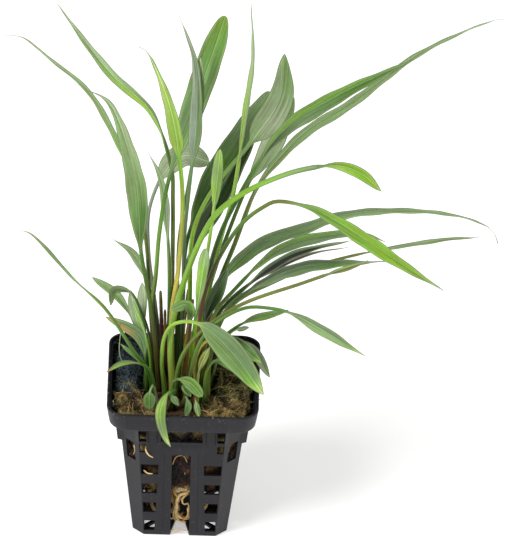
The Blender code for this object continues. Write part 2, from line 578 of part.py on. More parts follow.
def blade_width(share, widest):
    """Blade outline from 0 at its foot to 0 at its tip, 1 at its widest."""
    if share < widest:
        return math.sin(math.pi / 2 * share / widest) ** 1.05
    return math.cos(math.pi / 2 * (share - widest) / (1 - widest)) ** 0.7


def turn_at(turns, share):
    place = share * (len(turns) - 1)
    i = min(int(place), len(turns) - 2)
    return math.radians(turns[i] + (turns[i + 1] - turns[i]) * (place - i))


def leaf_section(place, along, width, stalk, turn, flat):
    """Six points round one section: a round stalk where flat is 0, a folded blade where it is 1."""
    side = along.cross(FRONT).normalized()
    face = side.cross(along).normalized()
    across = side * math.cos(turn) + face * math.sin(turn)
    up = face * math.cos(turn) - side * math.sin(turn)
    lift = width / 2 * math.tan(BLADE_FOLD)
    edge, rib = lift / 2, -lift / 2
    blade = [(-width / 2, edge + BLADE_EDGE / 2), (0, rib + BLADE_RIB / 2), (width / 2, edge + BLADE_EDGE / 2),
             (width / 2, edge - BLADE_EDGE / 2), (0, rib - BLADE_RIB / 2), (-width / 2, edge - BLADE_EDGE / 2)]
    points = []
    for i, (bx, by) in enumerate(blade):
        angle = math.radians(150 - 60 * i)
        rx, ry = stalk / 2 * math.cos(angle), stalk / 2 * math.sin(angle)
        x, y = rx + (bx - rx) * flat, ry + (by - ry) * flat
        points.append(place + across * x + up * y)
    return points


def build_leaf(parts, name, leaf):
    seat = leaf["route"][0]
    foot = (seat[0], seat[1], crown_top(*seat) + GAP + leaf["stalk"] / 3)
    dense, reach = smooth_route([foot] + leaf["route"][1:], 12)
    blade_start = reach[-1] - leaf["blade"]
    stalk_count = max(2, round(blade_start / STALK_STEP))
    blade_count = min(max(4, round(leaf["blade"] / BLADE_STEP)), MOST_SECTIONS)
    lengths = [blade_start * i / stalk_count for i in range(stalk_count)]
    lengths += [blade_start + leaf["blade"] * i / blade_count for i in range(blade_count + 1)]
    rings = []
    for length in lengths:
        place, along = at_length(dense, reach, length)
        share = max(0.0, (length - blade_start) / leaf["blade"])
        width = max(leaf["width"] * blade_width(share, leaf["widest"]), leaf["stalk"] * (1 - share) * 0.9, 0.5)
        flat = min(1.0, share / 0.15)
        stalk = leaf["stalk"] * (1 - 0.25 * length / reach[-1])
        rings.append(leaf_section(place, along, width, stalk, turn_at(leaf["turn"], share), flat))
    bm = bmesh.new()
    skin_rings(bm, rings)
    mesh_object(name, bm, parts, plain_material(name, TINTS[leaf["tint"]], 0.4))


def build_root(parts, name, thickness, points):
    """A curve through the places, bevelled to the root's thickness, with closed ends."""
    dense, reach = smooth_route(points, 12)
    curve = bpy.data.curves.new(name, 'CURVE')
    curve.dimensions = '3D'
    curve.bevel_depth = thickness / 2 * MM
    curve.bevel_resolution = 1
    curve.use_fill_caps = True
    count = 9
    spline = curve.splines.new('POLY')
    spline.points.add(count - 1)
    for i in range(count):
        place, _ = at_length(dense, reach, reach[-1] * i / (count - 1))
        spline.points[i].co = (*(place * MM), 1.0)
    curve.materials.append(plain_material(name, CREAM_ROOT, 0.6))
    parts.objects.link(bpy.data.objects.new(name, curve))


def main():
    clear_scene()
    parts = new_collection("potted_cryptocoryne")
    cutters = new_collection("cutters")
    build_pot(parts, cutters)
    build_plug(parts, cutters)
    build_crown(parts)
    for name, leaf in LEAVES.items():
        build_leaf(parts, name, leaf)
    for name, (thickness, points) in ROOTS.items():
        build_root(parts, name, thickness, points)


main()
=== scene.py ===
# Potted cryptocoryne: the looks of the plant and its pot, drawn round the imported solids.
# Sizes in the dictionaries are millimetres; every mesh is written in metres, in its place.
import bmesh
import bpy
import numpy as np
from mathutils import Matrix, Vector


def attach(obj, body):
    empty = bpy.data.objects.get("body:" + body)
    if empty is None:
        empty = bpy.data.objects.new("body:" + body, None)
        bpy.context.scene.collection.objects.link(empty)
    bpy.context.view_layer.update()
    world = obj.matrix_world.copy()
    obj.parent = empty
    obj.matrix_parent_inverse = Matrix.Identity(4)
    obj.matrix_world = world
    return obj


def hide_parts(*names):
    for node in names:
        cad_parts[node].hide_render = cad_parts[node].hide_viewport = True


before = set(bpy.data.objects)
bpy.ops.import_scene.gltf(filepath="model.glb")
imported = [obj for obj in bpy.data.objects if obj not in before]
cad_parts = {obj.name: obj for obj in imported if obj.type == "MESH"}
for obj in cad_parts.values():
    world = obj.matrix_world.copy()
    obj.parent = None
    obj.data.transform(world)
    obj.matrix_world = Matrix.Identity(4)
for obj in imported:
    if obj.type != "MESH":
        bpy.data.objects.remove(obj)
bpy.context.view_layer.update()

mm = 0.001
print("stage 1: solids loaded,", len(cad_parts), "nodes")

# The colours of the plant, as a printer would name them. The near-black is painted shadow, and the pale grey-greens
# paint sheen on some blades as well as their paler undersides
palette = {
    "night": "#0a0f05", "forest": "#20350e", "deep": "#2d4a15", "ivy": "#3f5f22", "moss": "#4a7026",
    "fern": "#567c33", "leaf": "#68894a", "slate": "#6a8556", "grass": "#6c9534", "spring": "#77a422",
    "lime": "#93b947", "pea": "#a3bf69", "lemon": "#b9d074", "sage": "#7e9a61", "mist": "#98ab80",
    "frost": "#aebb98", "pearl": "#c6ccb6", "silver": "#86957f", "olive": "#6a7030", "yellow": "#94902c",
    "straw": "#b9a94a", "bark": "#483818", "rust": "#7a4a2c", "wine": "#4a2420", "tan": "#a3864c",
    "orange": "#d9782a",
}


def linearColour(code):
    # sRGB to linear: a value under 0.04045 over 12.92, any other ((value + 0.055) / 1.055) to the power 2.4
    value = np.array([int(code[i:i + 2], 16) / 255 for i in (1, 3, 5)])
    return np.where(value <= 0.04045, value / 12.92, ((value + 0.055) / 1.055) ** 2.4)


def addNode(tree, kind, settings=None, links=None):
    # One node: a setting fills the socket of that name or number, or else the node's own property
    node = tree.nodes.new(kind)
    for key, value in (settings or {}).items():
        if isinstance(key, str) and hasattr(node, key):
            setattr(node, key, value)
        else:
            node.inputs[key].default_value = value
    for key, source in (links or {}).items():
        tree.links.new(source, node.inputs[key])
    return node


def newMaterial(name, settings):
    # A material with its own surface shader, whose sockets take the values that are the same all over
    material = bpy.data.materials.new(name)
    material.use_nodes = True
    shader = material.node_tree.nodes["Principled BSDF"]
    for key, value in settings.items():
        shader.inputs[key].default_value = value
    return material, material.node_tree, shader


def rampColour(names, share):
    # Colours named in order, evenly spaced from 0 to 1, mixed straight between neighbours
    stops = np.array([linearColour(palette[name]) for name in names.split()])
    places = np.linspace(0, 1, len(stops))
    return np.stack([np.interp(share, places, stops[:, i]) for i in range(3)], axis=-1)


def smoothStep(value):
    # 0 below 0, 1 above 1, and 3v^2 - 2v^3 between
    value = np.clip(value, 0.0, 1.0)
    return value * value * (3 - 2 * value)


def ripple(points, size, seed, waves=9):
    # A smooth random field: sine waves about this long, in random directions, added up to about -1 to 1
    random = np.random.default_rng(seed)
    heading = random.normal(size=(waves, 3))
    heading /= np.linalg.norm(heading, axis=1, keepdims=True)
    heading *= 2 * np.pi / (size * random.uniform(0.7, 1.5, (waves, 1)))
    return np.sin(points @ heading.T + random.uniform(0, 2 * np.pi, waves)).sum(-1) / np.sqrt(2 * waves)


def smoothRoute(points, steps=30):
    # A curve through the points whose knots lie the square root of the distance apart, and its length so far
    knots = np.array(points, float)
    knots = np.vstack([2 * knots[0] - knots[1], knots, 2 * knots[-1] - knots[-2]])
    gaps = np.sqrt(np.linalg.norm(np.diff(knots, axis=0), axis=1))
    g0, g1, g2 = gaps[:-2, None, None], gaps[1:-1, None, None], gaps[2:, None, None]
    p0, p1, p2, p3 = (knots[i:len(knots) - 3 + i, None, :] for i in range(4))
    slope1 = g1 * ((p1 - p0) / g0 - (p2 - p0) / (g0 + g1) + (p2 - p1) / g1)
    slope2 = g1 * ((p2 - p1) / g1 - (p3 - p1) / (g1 + g2) + (p3 - p2) / g2)
    t = np.linspace(0, 1, steps, endpoint=False)[None, :, None]
    curve = (p1 * (2 * t**3 - 3 * t**2 + 1) + slope1 * (t**3 - 2 * t**2 + t)
             + p2 * (3 * t**2 - 2 * t**3) + slope2 * (t**3 - t**2)).reshape(-1, 3)
    curve = np.vstack([curve, knots[-2]])
    reach = np.concatenate([[0.0], np.cumsum(np.linalg.norm(np.diff(curve, axis=0), axis=1))])
    return curve, reach


def alongRoute(curve, reach, lengths):
    # Places at these lengths, and the direction between the places 0.4 mm before and after each
    at = lambda where: np.stack([np.interp(where, reach, curve[:, i]) for i in range(3)], axis=1)
    heading = at(np.clip(lengths + 0.4, 0, reach[-1])) - at(np.clip(lengths - 0.4, 0, reach[-1]))
    return at(lengths), heading / np.linalg.norm(heading, axis=1, keepdims=True)


def tubeFaces(rings, around):
    # Squares between neighbouring rings, and a fan at each end to the two poles that follow the rings
    ring, step = np.meshgrid(np.arange(rings - 1), np.arange(around), indexing="ij")
    a, b = ring * around + step, ring * around + (step + 1) % around
    squares = np.stack([a, b, b + around, a + around], axis=-1).reshape(-1, 4)
    step = np.arange(around)
    first = np.stack([np.full(around, rings * around), (step + 1) % around, step], axis=1)
    last = (rings - 1) * around
    second = np.stack([np.full(around, rings * around + 1), last + step, last + (step + 1) % around], axis=1)
    return squares.tolist() + first.tolist() + second.tolist()


def makePiece(name, points, faces, material, stands, colours=None, vectors=None, sharp=40):
    # A mesh from places in millimetres, faces outwards, with its colours and vectors kept point by point
    mesh = bpy.data.meshes.new(name)
    mesh.from_pydata((np.asarray(points) * mm).tolist(), [], faces)
    for key, values in (colours or {}).items():
        layer = mesh.attributes.new(key, 'FLOAT_COLOR', 'POINT')
        layer.data.foreach_set("color", np.column_stack([values, np.ones(len(values))]).astype(np.float32).ravel())
    for key, values in (vectors or {}).items():
        layer = mesh.attributes.new(key, 'FLOAT_VECTOR', 'POINT')
        layer.data.foreach_set("vector", np.asarray(values, np.float32).ravel())
    work = bmesh.new()
    work.from_mesh(mesh)
    bmesh.ops.remove_doubles(work, verts=work.verts, dist=1e-6)
    bmesh.ops.recalc_face_normals(work, faces=work.faces)
    if work.calc_volume(signed=True) < 0:
        bmesh.ops.reverse_faces(work, faces=work.faces)
    work.to_mesh(mesh)
    work.free()
    mesh.polygons.foreach_set("use_smooth", [True] * len(mesh.polygons))
    mesh.set_sharp_from_angle(angle=np.radians(sharp))
    mesh.materials.append(material)
    piece = bpy.data.objects.new(name, mesh)
    bpy.context.scene.collection.objects.link(piece)
    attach(piece, "root")
    standsFor = [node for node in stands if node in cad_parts]
    if standsFor:
        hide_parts(*standsFor)
    return piece


# The camera looks down at the pot's front at the photograph's angle, from 8 m with a long lens. From much farther,
# a camera turned round the plant would stand beyond its own far clipping distance and see nothing
view = {"elevation": 33.0, "roll": 1.6, "aim": (24.07, 0.0, 103.97), "distance": 8000.0, "across": 194.13}
tilt, roll = np.radians(view["elevation"]), np.radians(view["roll"])
toCamera = np.array([0.0, -np.cos(tilt), np.sin(tilt)])


def placeCamera():
    # Its axes: right and up turned by the roll about the line of sight, and back along that line
    above = np.array([0.0, np.sin(tilt), np.cos(tilt)])
    level = np.array([1.0, 0.0, 0.0])
    right = np.cos(roll) * level + np.sin(roll) * above
    upward = np.cos(roll) * above - np.sin(roll) * level
    lens = bpy.data.cameras.new("photo_camera")
    lens.sensor_fit, lens.sensor_height, lens.sensor_width = 'VERTICAL', 36.0, 36.0
    lens.lens = 36.0 * view["distance"] / view["across"]
    lens.clip_end = 60.0
    camera = bpy.data.objects.new("photo_camera", lens)
    place = (np.array(view["aim"]) + toCamera * view["distance"]) * mm
    camera.matrix_world = Matrix([[*row, at] for row, at in
                                  zip(np.column_stack([right, upward, toCamera]).tolist(), place)] + [[0, 0, 0, 1]])
    bpy.context.scene.collection.objects.link(camera)
    bpy.context.scene.camera = camera


studio = {"floor": "#f4f4f2", "glow": 0.42, "world": 0.25, "keyPlace": (-1250, -950, 1700), "keySize": 1100,
          "keyPower": 44.0, "fillPlace": (1600, -750, 1100), "fillSize": 1100, "fillPower": 17.0}


def buildStudio():
    # A pale floor far wider than the view, faintly lit from below, white light from all round and two large soft lamps
    half = 3000.0
    floor, tree, shader = newMaterial("matteStudioBoard", {"Roughness": 0.9, "Specular IOR Level": 0.2,
                                                           "Emission Color": (1, 1, 1, 1),
                                                           "Emission Strength": studio["glow"]})
    grain = addNode(tree, "ShaderNodeTexNoise", {"Scale": 3.0, "Detail": 2.0},
                    {"Vector": addNode(tree, "ShaderNodeTexCoord").outputs["Object"]})
    pale, deeper = linearColour(studio["floor"]), linearColour(studio["floor"]) * 0.985
    tone = addNode(tree, "ShaderNodeMix", {"data_type": 'RGBA', 6: (*pale, 1), 7: (*deeper, 1)}, {0: grain.outputs[0]})
    tree.links.new(tone.outputs[2], shader.inputs["Base Color"])
    mesh = bpy.data.meshes.new("studio_floor")
    mesh.from_pydata([(x * half * mm, y * half * mm, -0.0003) for x, y in ((-1, -1), (1, -1), (1, 1), (-1, 1))],
                     [], [(0, 1, 2, 3)])
    mesh.materials.append(floor)
    board = bpy.data.objects.new("studio_floor", mesh)
    bpy.context.scene.collection.objects.link(board)
    world = bpy.data.worlds.new("white_room")
    world.use_nodes = True
    world.node_tree.nodes["Background"].inputs["Color"].default_value = (1, 1, 1, 1)
    world.node_tree.nodes["Background"].inputs["Strength"].default_value = studio["world"]
    bpy.context.scene.world = world
    for lamp in ("key", "fill"):
        light = bpy.data.lights.new(lamp + "_lamp", 'AREA')
        light.shape, light.size, light.energy = 'DISK', studio[lamp + "Size"] * mm, studio[lamp + "Power"]
        holder = bpy.data.objects.new(lamp + "_lamp", light)
        place = Vector(studio[lamp + "Place"]) * mm
        holder.matrix_world = Matrix.LocRotScale(place, (Vector((0.01, 0, 0.09)) - place).to_track_quat('-Z', 'Y'), None)
        bpy.context.scene.collection.objects.link(holder)
    bpy.context.scene.view_settings.view_transform = 'Standard'


placeCamera()
buildStudio()
print("stage 2: camera, floor and light")

# The square net pot, moulded in one piece
netPot = {
    "foot": (17.0, 4.0), "shoulder": (23.0, 7.0), "shoulderZ": 50.5,    # half width and corner cut of the body
    "wall": 0.95, "slotHalf": 3.4, "cornerWindowHalf": 2.2,
    "padFace": 23.08, "padFoot": 42.9, "slotFrame": 0.3,                   # raised frames
    "blockProud": (0.9, 1.5), "blockFoot": (42.9, 39.8),                   # end blocks: front and back, then the sides
    "ledge": [(23.0, 7.0, 50.5, 0), (25.6, 6.4, 50.5, 1), (26.1, 6.5, 50.65, 1), (26.35, 6.5, 51.1, 1),
              (26.9, 6.7, 54.2, 1), (27.35, 6.9, 57.1, 1), (27.4, 6.9, 57.5, 1), (27.3, 6.8, 57.85, 1),
              (27.1, 6.7, 58.0, 1)],                                    # outside: half width, corner, height, rounded
    "inside": [(21.8, 6.3, 51.8, 0), (24.5, 5.5, 51.8, 1), (24.95, 5.65, 51.95, 1), (25.15, 5.7, 52.3, 1),
               (25.5, 5.9, 54.3, 1), (25.85, 6.0, 56.2, 1), (26.1, 6.1, 56.4, 1), (26.45, 6.35, 56.5, 1),
               (26.6, 6.5, 57.9, 1)],
    # Openings: lower and upper edge, then the first and last column of the grid that they take in
    "openings": [(44.0, 48.5, 8, 9), (38.4, 42.9, 8, 9), (28.2, 32.7, 4, 9), (19.3, 23.8, 4, 9), (10.4, 14.9, 4, 9),
                 (1.9, 6.4, 4, 9), (44.0, 48.5, 0, 2), (0.0, 37.5, 0, 1), (33.5, 41.5, 12, 14)],
}
wallRows = np.array([0.0, 1.9, 6.4, 10.4, 14.9, 19.3, 23.8, 28.2, 32.7, 33.5, 37.5, 38.4, 39.6, 39.8, 41.5, 42.65,
                     42.9, 44.0, 48.5])
floorRows = np.array([0.0, 0.22, 0.44, 0.84])       # the floor's rings, as shares of its width


def bodyOutline(z, inset):
    # Half width and corner cut grow straight from floor to shoulder; a wall set in keeps its facets' thickness
    share = z / netPot["shoulderZ"]
    half = netPot["foot"][0] + (netPot["shoulder"][0] - netPot["foot"][0]) * share - inset
    corner = netPot["foot"][1] + (netPot["shoulder"][1] - netPot["foot"][1]) * share - inset * (2 - np.sqrt(2))
    return half, corner


def potSkin(half, corner, height, scale, rounded, bodyZ, margin, proud):
    # One skin of the wall: rows up the pot, columns round it. A row is a square whose corners are cut or rounded
    # in a quarter circle, and its face stands forward where a raised frame or an end block is
    edge = half - corner
    bodyHalf, bodyCorner = bodyOutline(bodyZ, 0.0)
    stretch = np.where(rounded > 0, edge / (bodyHalf - bodyCorner), 1.0)
    frameEdge = np.interp(bodyZ, [0, 38, 42.65], [6.0, 6.0, 7.5])
    padEdge = np.interp(bodyZ, [0, 34, 42.65], [9.2, 8.1, 8.6])
    nearEdge = np.interp(bodyZ, [0, 38], [11.0, 12.8])
    flats = np.stack([0 * bodyZ, netPot["slotHalf"] + 0 * bodyZ, frameEdge, frameEdge + 0.2, padEdge, padEdge + 0.25,
                      nearEdge - 0.75, nearEdge - 0.5, nearEdge], axis=1) * stretch[:, None]
    flats = np.column_stack([flats, edge - margin, edge])
    window = np.where(rounded > 0, 0.278, 0.5 - netPot["cornerWindowHalf"] / (np.maximum(corner, 1) * np.sqrt(2)))
    window = np.clip(window, 0.1, 0.3)
    share = np.stack([window / 2, window, (window + 0.5) / 2, 0.5 + 0 * window], axis=1)
    bend = rounded[:, None]
    across = np.where(bend > 0, np.sin(share * np.pi / 2), share)
    deep = np.where(bend > 0, np.cos(share * np.pi / 2), 1 - share)
    x = np.column_stack([flats, edge[:, None] + corner[:, None] * across])
    y = np.column_stack([np.repeat(half[:, None], 11, axis=1), edge[:, None] + corner[:, None] * deep])
    if proud:
        onPad = (rounded == 0) & (bodyZ >= netPot["padFoot"]) & (scale == 1)
        y[onPad, :5] = np.maximum(y[onPad, :5], netPot["padFace"])
        onSlot = (bodyZ >= 1.0) & (bodyZ <= 41.6) & (scale == 1)
        y[onSlot, :3] += netPot["slotFrame"]
    x, y = x * scale[:, None], y * scale[:, None]
    sides = []
    for quarter in range(4):
        deep = y.copy()
        if proud:
            onBlock = (rounded == 0) & (scale == 1) & (bodyZ >= netPot["blockFoot"][quarter % 2]) & (bodyZ < 50)
            deep[onBlock, 7:11] += netPot["blockProud"][quarter % 2]
        wide = np.column_stack([-x[:, :0:-1], x[:, :-1]])
        deep = np.column_stack([deep[:, :0:-1], deep[:, :-1]])
        cos, sin = np.cos(quarter * np.pi / 2), np.sin(quarter * np.pi / 2)
        sides.append(np.stack([wide * cos + deep * sin, wide * sin - deep * cos,
                               np.repeat(height[:, None], wide.shape[1], 1)], -1))
    return np.concatenate(sides, axis=1)


def potSurface():
    # Two skins on one grid, the cells of each opening left out of both, and walls set between them at every rim
    ledge, inside = np.array(netPot["ledge"]), np.array(netPot["inside"])
    body = np.concatenate([0 * floorRows, wallRows])
    scale = np.concatenate([floorRows, 1 + 0 * wallRows, 1 + 0 * ledge[:, 0]])
    flat = np.concatenate([0 * body, ledge[:, 3]])
    bodyZ = np.concatenate([body, np.full(len(ledge), netPot["shoulderZ"])])
    outHalf, outCorner = bodyOutline(body, 0.0)
    inZ = np.maximum(body, netPot["wall"])
    inHalf, inCorner = bodyOutline(inZ, netPot["wall"])
    outer = potSkin(np.concatenate([outHalf, ledge[:, 0]]), np.concatenate([outCorner, ledge[:, 1]]),
                    np.concatenate([body, ledge[:, 2]]), scale, flat, bodyZ, 0.2, True)
    inner = potSkin(np.concatenate([inHalf, inside[:, 0]]), np.concatenate([inCorner, inside[:, 1]]),
                    np.concatenate([inZ, inside[:, 2]]), scale, flat, bodyZ, 0.1, False)
    rows, columns = outer.shape[:2]
    kept = np.ones((rows - 1, columns), bool)
    first = len(floorRows)
    for low, high, near, far in netPot["openings"]:
        r0, r1 = first + np.searchsorted(wallRows, low - 0.01), first + np.searchsorted(wallRows, high - 0.01)
        for side in range(4):
            kept[r0:r1, side * 28 + 14 + near:side * 28 + 14 + far] = False
            kept[r0:r1, side * 28 + 14 - far:side * 28 + 14 - near] = False
    for side in range(4):
        kept[2:first, side * 28 + 13:side * 28 + 15] = False                        # the slot runs into the floor
        for near, far in ((5, 13),):                                            # and a hole each side of a rib
            kept[2:3, side * 28 + 14 + near:side * 28 + 14 + far] = False
            kept[2:3, side * 28 + 14 - far:side * 28 + 14 - near] = False
    index = np.arange(rows * columns).reshape(rows, columns)
    after = np.roll(index, -1, axis=1)
    r, c = np.nonzero(kept)
    total = rows * columns
    skin = np.stack([index[r, c], after[r, c], after[r + 1, c], index[r + 1, c]], axis=1)
    faces = skin.tolist() + (skin[:, ::-1] + total).tolist()
    below = np.vstack([kept, np.zeros((1, columns), bool)])
    change = below.copy()
    change[1:] = below[1:] != below[:-1]
    change[0] = False
    r, c = np.nonzero(change)
    faces += np.stack([index[r, c], after[r, c], after[r, c] + total, index[r, c] + total], axis=1).tolist()
    r, c = np.nonzero(kept != np.roll(kept, 1, axis=1))
    faces += np.stack([index[r, c], index[r + 1, c], index[r + 1, c] + total, index[r, c] + total], axis=1).tolist()
    return np.concatenate([outer.reshape(-1, 3), inner.reshape(-1, 3)]), faces


def mouldedPolypropylene():
    # Black polypropylene from a sparked mould: a soft grey sheen, a fine grain, a dull film of hard water, and pale
    # specks of lime that crowd onto the rim's top edge as painted glints
    material, tree, shader = newMaterial("mouldedPolypropylene", {"IOR": 1.49, "Specular IOR Level": 0.3})
    place = addNode(tree, "ShaderNodeTexCoord").outputs["Object"]
    grain = addNode(tree, "ShaderNodeTexNoise", {"Scale": 2600.0, "Detail": 2.0}, {"Vector": place})   # 0.4 mm
    stretched = addNode(tree, "ShaderNodeMapping", {"Scale": (1, 1, 0.16)}, {"Vector": place})
    film = addNode(tree, "ShaderNodeTexNoise", {"Scale": 160.0, "Detail": 5.0, "Roughness": 0.62},
                   {"Vector": stretched.outputs[0]})                                          # streaks 6 mm apart
    dusty = addNode(tree, "ShaderNodeMapRange", {"From Min": 0.42, "From Max": 0.78, "To Min": 0.0, "To Max": 0.55},
                    {"Value": film.outputs[0]})
    tone = addNode(tree, "ShaderNodeMix", {"data_type": 'RGBA', 6: (*linearColour("#141318"), 1),
                                           7: (*linearColour("#2a2930"), 1)}, {0: dusty.outputs[0]})
    specks = addNode(tree, "ShaderNodeTexNoise", {"Scale": 900.0, "Detail": 3.0}, {"Vector": place})
    lime = addNode(tree, "ShaderNodeMapRange", {"From Min": 0.64, "From Max": 0.72, "To Min": 0.0, "To Max": 0.6},
                   {"Value": specks.outputs[0]})
    height = addNode(tree, "ShaderNodeSeparateXYZ", {}, {0: place}).outputs[2]
    # Pale specks faint all over as lime, and strong on the rim's top edge as painted glints
    glintAtRim = addNode(tree, "ShaderNodeMapRange", {"From Min": 0.0555, "From Max": 0.0578, "To Min": 0.12, "To Max": 1.0},
                    {"Value": height})
    lime = addNode(tree, "ShaderNodeMath", {"operation": 'MULTIPLY'}, {0: lime.outputs[0], 1: glintAtRim.outputs[0]})
    tone = addNode(tree, "ShaderNodeMix", {"data_type": 'RGBA', 7: (*linearColour("#a5a4a6"), 1)},
                   {0: lime.outputs[0], 6: tone.outputs[2]})
    rough = addNode(tree, "ShaderNodeMapRange", {"To Min": 0.34, "To Max": 0.56}, {"Value": film.outputs[0]})
    bump = addNode(tree, "ShaderNodeBump", {"Strength": 0.35, "Distance": 0.00008}, {"Height": grain.outputs[0]})
    tree.links.new(tone.outputs[2], shader.inputs["Base Color"])
    tree.links.new(rough.outputs[0], shader.inputs["Roughness"])
    tree.links.new(bump.outputs[0], shader.inputs["Normal"])
    return material


potPoints, potFaces = potSurface()
pot = makePiece("square_net_pot", potPoints, potFaces, mouldedPolypropylene(), ["net_pot"], sharp=30)
rounding = pot.modifiers.new("edges", 'BEVEL')
rounding.width, rounding.segments, rounding.limit_method, rounding.angle_limit = 0.14 * mm, 2, 'ANGLE', np.radians(35)
weighted = pot.modifiers.new("flat_faces", 'WEIGHTED_NORMAL')
weighted.keep_sharp = False
print("stage 3: net pot,", len(potFaces), "faces")

# The block of rock wool, its lobes either side of the crown, and the fibres and algae on it
rockWool = {
    "foot": 18.6, "neck": 52.2, "spread": 24.6, "gap": 0.35, "top": 52.6, "lobeRise": 3.4, "backRise": 0.08,
    "hollow": (-2.0, -0.5, 14.6, 13.2, 17.0), "hollowFloor": 45.0, "cleftDepth": 4.5,
    "around": 320, "strands": 8200,
}
woolPalette = {"ochre": "#86703f", "brown": "#57452a", "khaki": "#6d6a3c", "ash": "#6d7a74", "slateBlue": "#36434a",
               "soot": "#0f0d09", "umber": "#33281a", "sand": "#b5a06c", "redBrown": "#43221a", "algae": "#4f5c2a"}
palette.update(woolPalette)


def woolLumps(points):
    # Lumps of 9, 4 and 2 mm, and cracks where a slow wave crosses nought, about -1.5 to 1
    crack = np.exp(-(ripple(points, 6.5, 17) / 0.16) ** 2) * smoothStep(ripple(points, 8, 18) + 0.6)
    return 0.62 * ripple(points, 9, 11) + 0.46 * ripple(points, 4.2, 12) + 0.3 * ripple(points, 2.0, 13) - 0.9 * crack


def woolTop(x, y):
    # Two lobes that rise away from the crown, lumps and cracks on them, a cleft at the front and the crown's hollow
    points = np.stack([x, y, 0 * x], axis=-1)
    rise = rockWool["lobeRise"] * np.clip(np.abs(x + 2) / 14, 0, 1) + rockWool["backRise"] * y
    top = rockWool["top"] + rise + 2.1 * woolLumps(points)
    top -= rockWool["cleftDepth"] * np.exp(-((x + 1) / 5.0) ** 2) * smoothStep((-y - 7) / 7)
    cx, cy, rx, back, front = rockWool["hollow"]
    reach = np.sqrt(((x - cx) / rx) ** 2 + ((y - cy) / np.where(y > cy, back, front)) ** 2)
    return top + (rockWool["hollowFloor"] - top) * smoothStep((1.08 - reach) / 0.2)


def woolRadius(angle, half, power):
    # A square with soft corners: the half width over the power mean of cosine and sine
    return half / (np.abs(np.cos(angle)) ** power + np.abs(np.sin(angle)) ** power) ** (1 / power)


def woolTint(points):
    # Colours run from near black in the cracks to sand on the lumps, which paints shade in the cracks and light on the
    # lump tops:
    # ochre at the front, khaki and green on the right lobe, slate blue on the left one. Behind the windows it is ochre
    # high up, red brown lower, and in shade under the ledge
    x, y, z = points[..., 0], points[..., 1], points[..., 2]
    level = np.stack([x, y, 0 * x], axis=-1)
    patch, spots, fine = ripple(points, 7, 21), ripple(points, 3.2, 22), ripple(points, 1.1, 23)
    # Every ramp below that reads high paints shade in the cracks and light on the lumps
    high = woolLumps(level) + 0.30 * fine
    colour = rampColour("soot umber brown ochre ochre sand", 0.50 + 0.30 * high + 0.10 * patch)
    dark = (smoothStep((x - 1 + 3 * spots) / 7) * smoothStep((y + 15 + 4 * patch) / 6))[..., None] * 0.85
    colour = colour * (1 - dark) + rampColour("soot soot umber khaki khaki sand", 0.42 + 0.34 * high) * dark
    blue = (smoothStep((-x - 5 + 3 * spots) / 5) * smoothStep((y + 11 + 4 * patch) / 6))[..., None]
    colour = colour * (1 - blue) + rampColour("soot soot slateBlue slateBlue ash", 0.48 + 0.36 * high) * blue
    green = (smoothStep((spots + 0.4 * fine - 0.45) / 0.3))[..., None] * 0.6 * (1 - blue)
    colour = colour * (1 - green) + rampColour("soot algae khaki", 0.5 + 0.35 * high) * green
    inside = smoothStep((50.5 - z) / 2)[..., None]
    middle = smoothStep((4.2 - np.abs(x)) / 1.5)
    share = 0.40 + 0.22 * patch + 0.16 * spots + 0.12 * fine + 0.34 * smoothStep((z - 34.5) / 3)
    share += smoothStep((26 - z) / 3) * (0.30 * smoothStep((-x - 4) / 3) - 0.30 * smoothStep((x - 4) / 3))
    share += middle * (0.55 * smoothStep((22.5 - z) / 2) - 0.20 * smoothStep((z - 23) / 2))
    core = rampColour("soot soot redBrown brown ochre sand", share)
    shade = smoothStep((z - 43.2) / 1.0) * (1 - 0.8 * smoothStep((2.5 - np.abs(x - 6)) / 1) * smoothStep((-y - 10) / 3))
    core = core * (1 - 0.93 * shade[..., None])
    return colour * (1 - inside) + core * inside


def woolSurface():
    # Rows from the middle of the foot up the walls, out over the ledge and in to the middle of the top
    angle = np.linspace(0, 2 * np.pi, rockWool["around"], endpoint=False)[None, :]
    rows = []
    for share in np.linspace(0.0, 0.96, 9):
        radius = woolRadius(angle, (bodyOutline(rockWool["foot"], 1.2)[0] - rockWool["gap"]) * share, 3.9)
        rows.append((radius, rockWool["foot"] + 0 * angle))
    for z in np.linspace(rockWool["foot"] + 0.4, rockWool["neck"], 44):
        half = bodyOutline(min(z, 50.5), 1.2)[0] - rockWool["gap"]
        rows.append((woolRadius(angle, half, 3.9), z + 0 * angle))
    for share in (0.25, 0.6, 0.9):
        half = bodyOutline(50.5, 1.2)[0] - rockWool["gap"]
        rows.append((woolRadius(angle, half + (rockWool["spread"] - half) * share, 4.5), rockWool["neck"] + 0.1 + 0 * angle))
    rim = woolRadius(angle, rockWool["spread"], 5.0)
    for share in np.concatenate([[0.0, 0.012, 0.03], np.linspace(0.05, 0.985, 88)]):
        radius = rim * (1 - share)
        x, y = radius * np.cos(angle), radius * np.sin(angle)
        edge = np.sqrt(1 - (1 - np.clip(share / 0.06, 0, 1)) ** 2)
        rows.append((radius, rockWool["neck"] + 0.3 + (woolTop(x, y) - rockWool["neck"] - 0.3) * (0.35 + 0.65 * edge)))
    radius = np.vstack([row[0] for row in rows])
    z = np.vstack([row[1] for row in rows])
    points = np.stack([radius * np.cos(angle), radius * np.sin(angle), z], axis=-1)
    dent = 0.30 * ripple(points, 3.1, 14) + 0.2 * ripple(points, 1.5, 15) + 0.12 * ripple(points, 0.8, 16)
    isWall = np.arange(len(rows)) < 9 + 44
    shrink = 1 + np.where(isWall[:, None], dent - 0.35, 0.0) / np.maximum(radius, 4)
    points[..., :2] *= shrink[..., None]
    points[..., 2] += np.where(isWall[:, None], 0.0, 0.35 * dent)
    return points


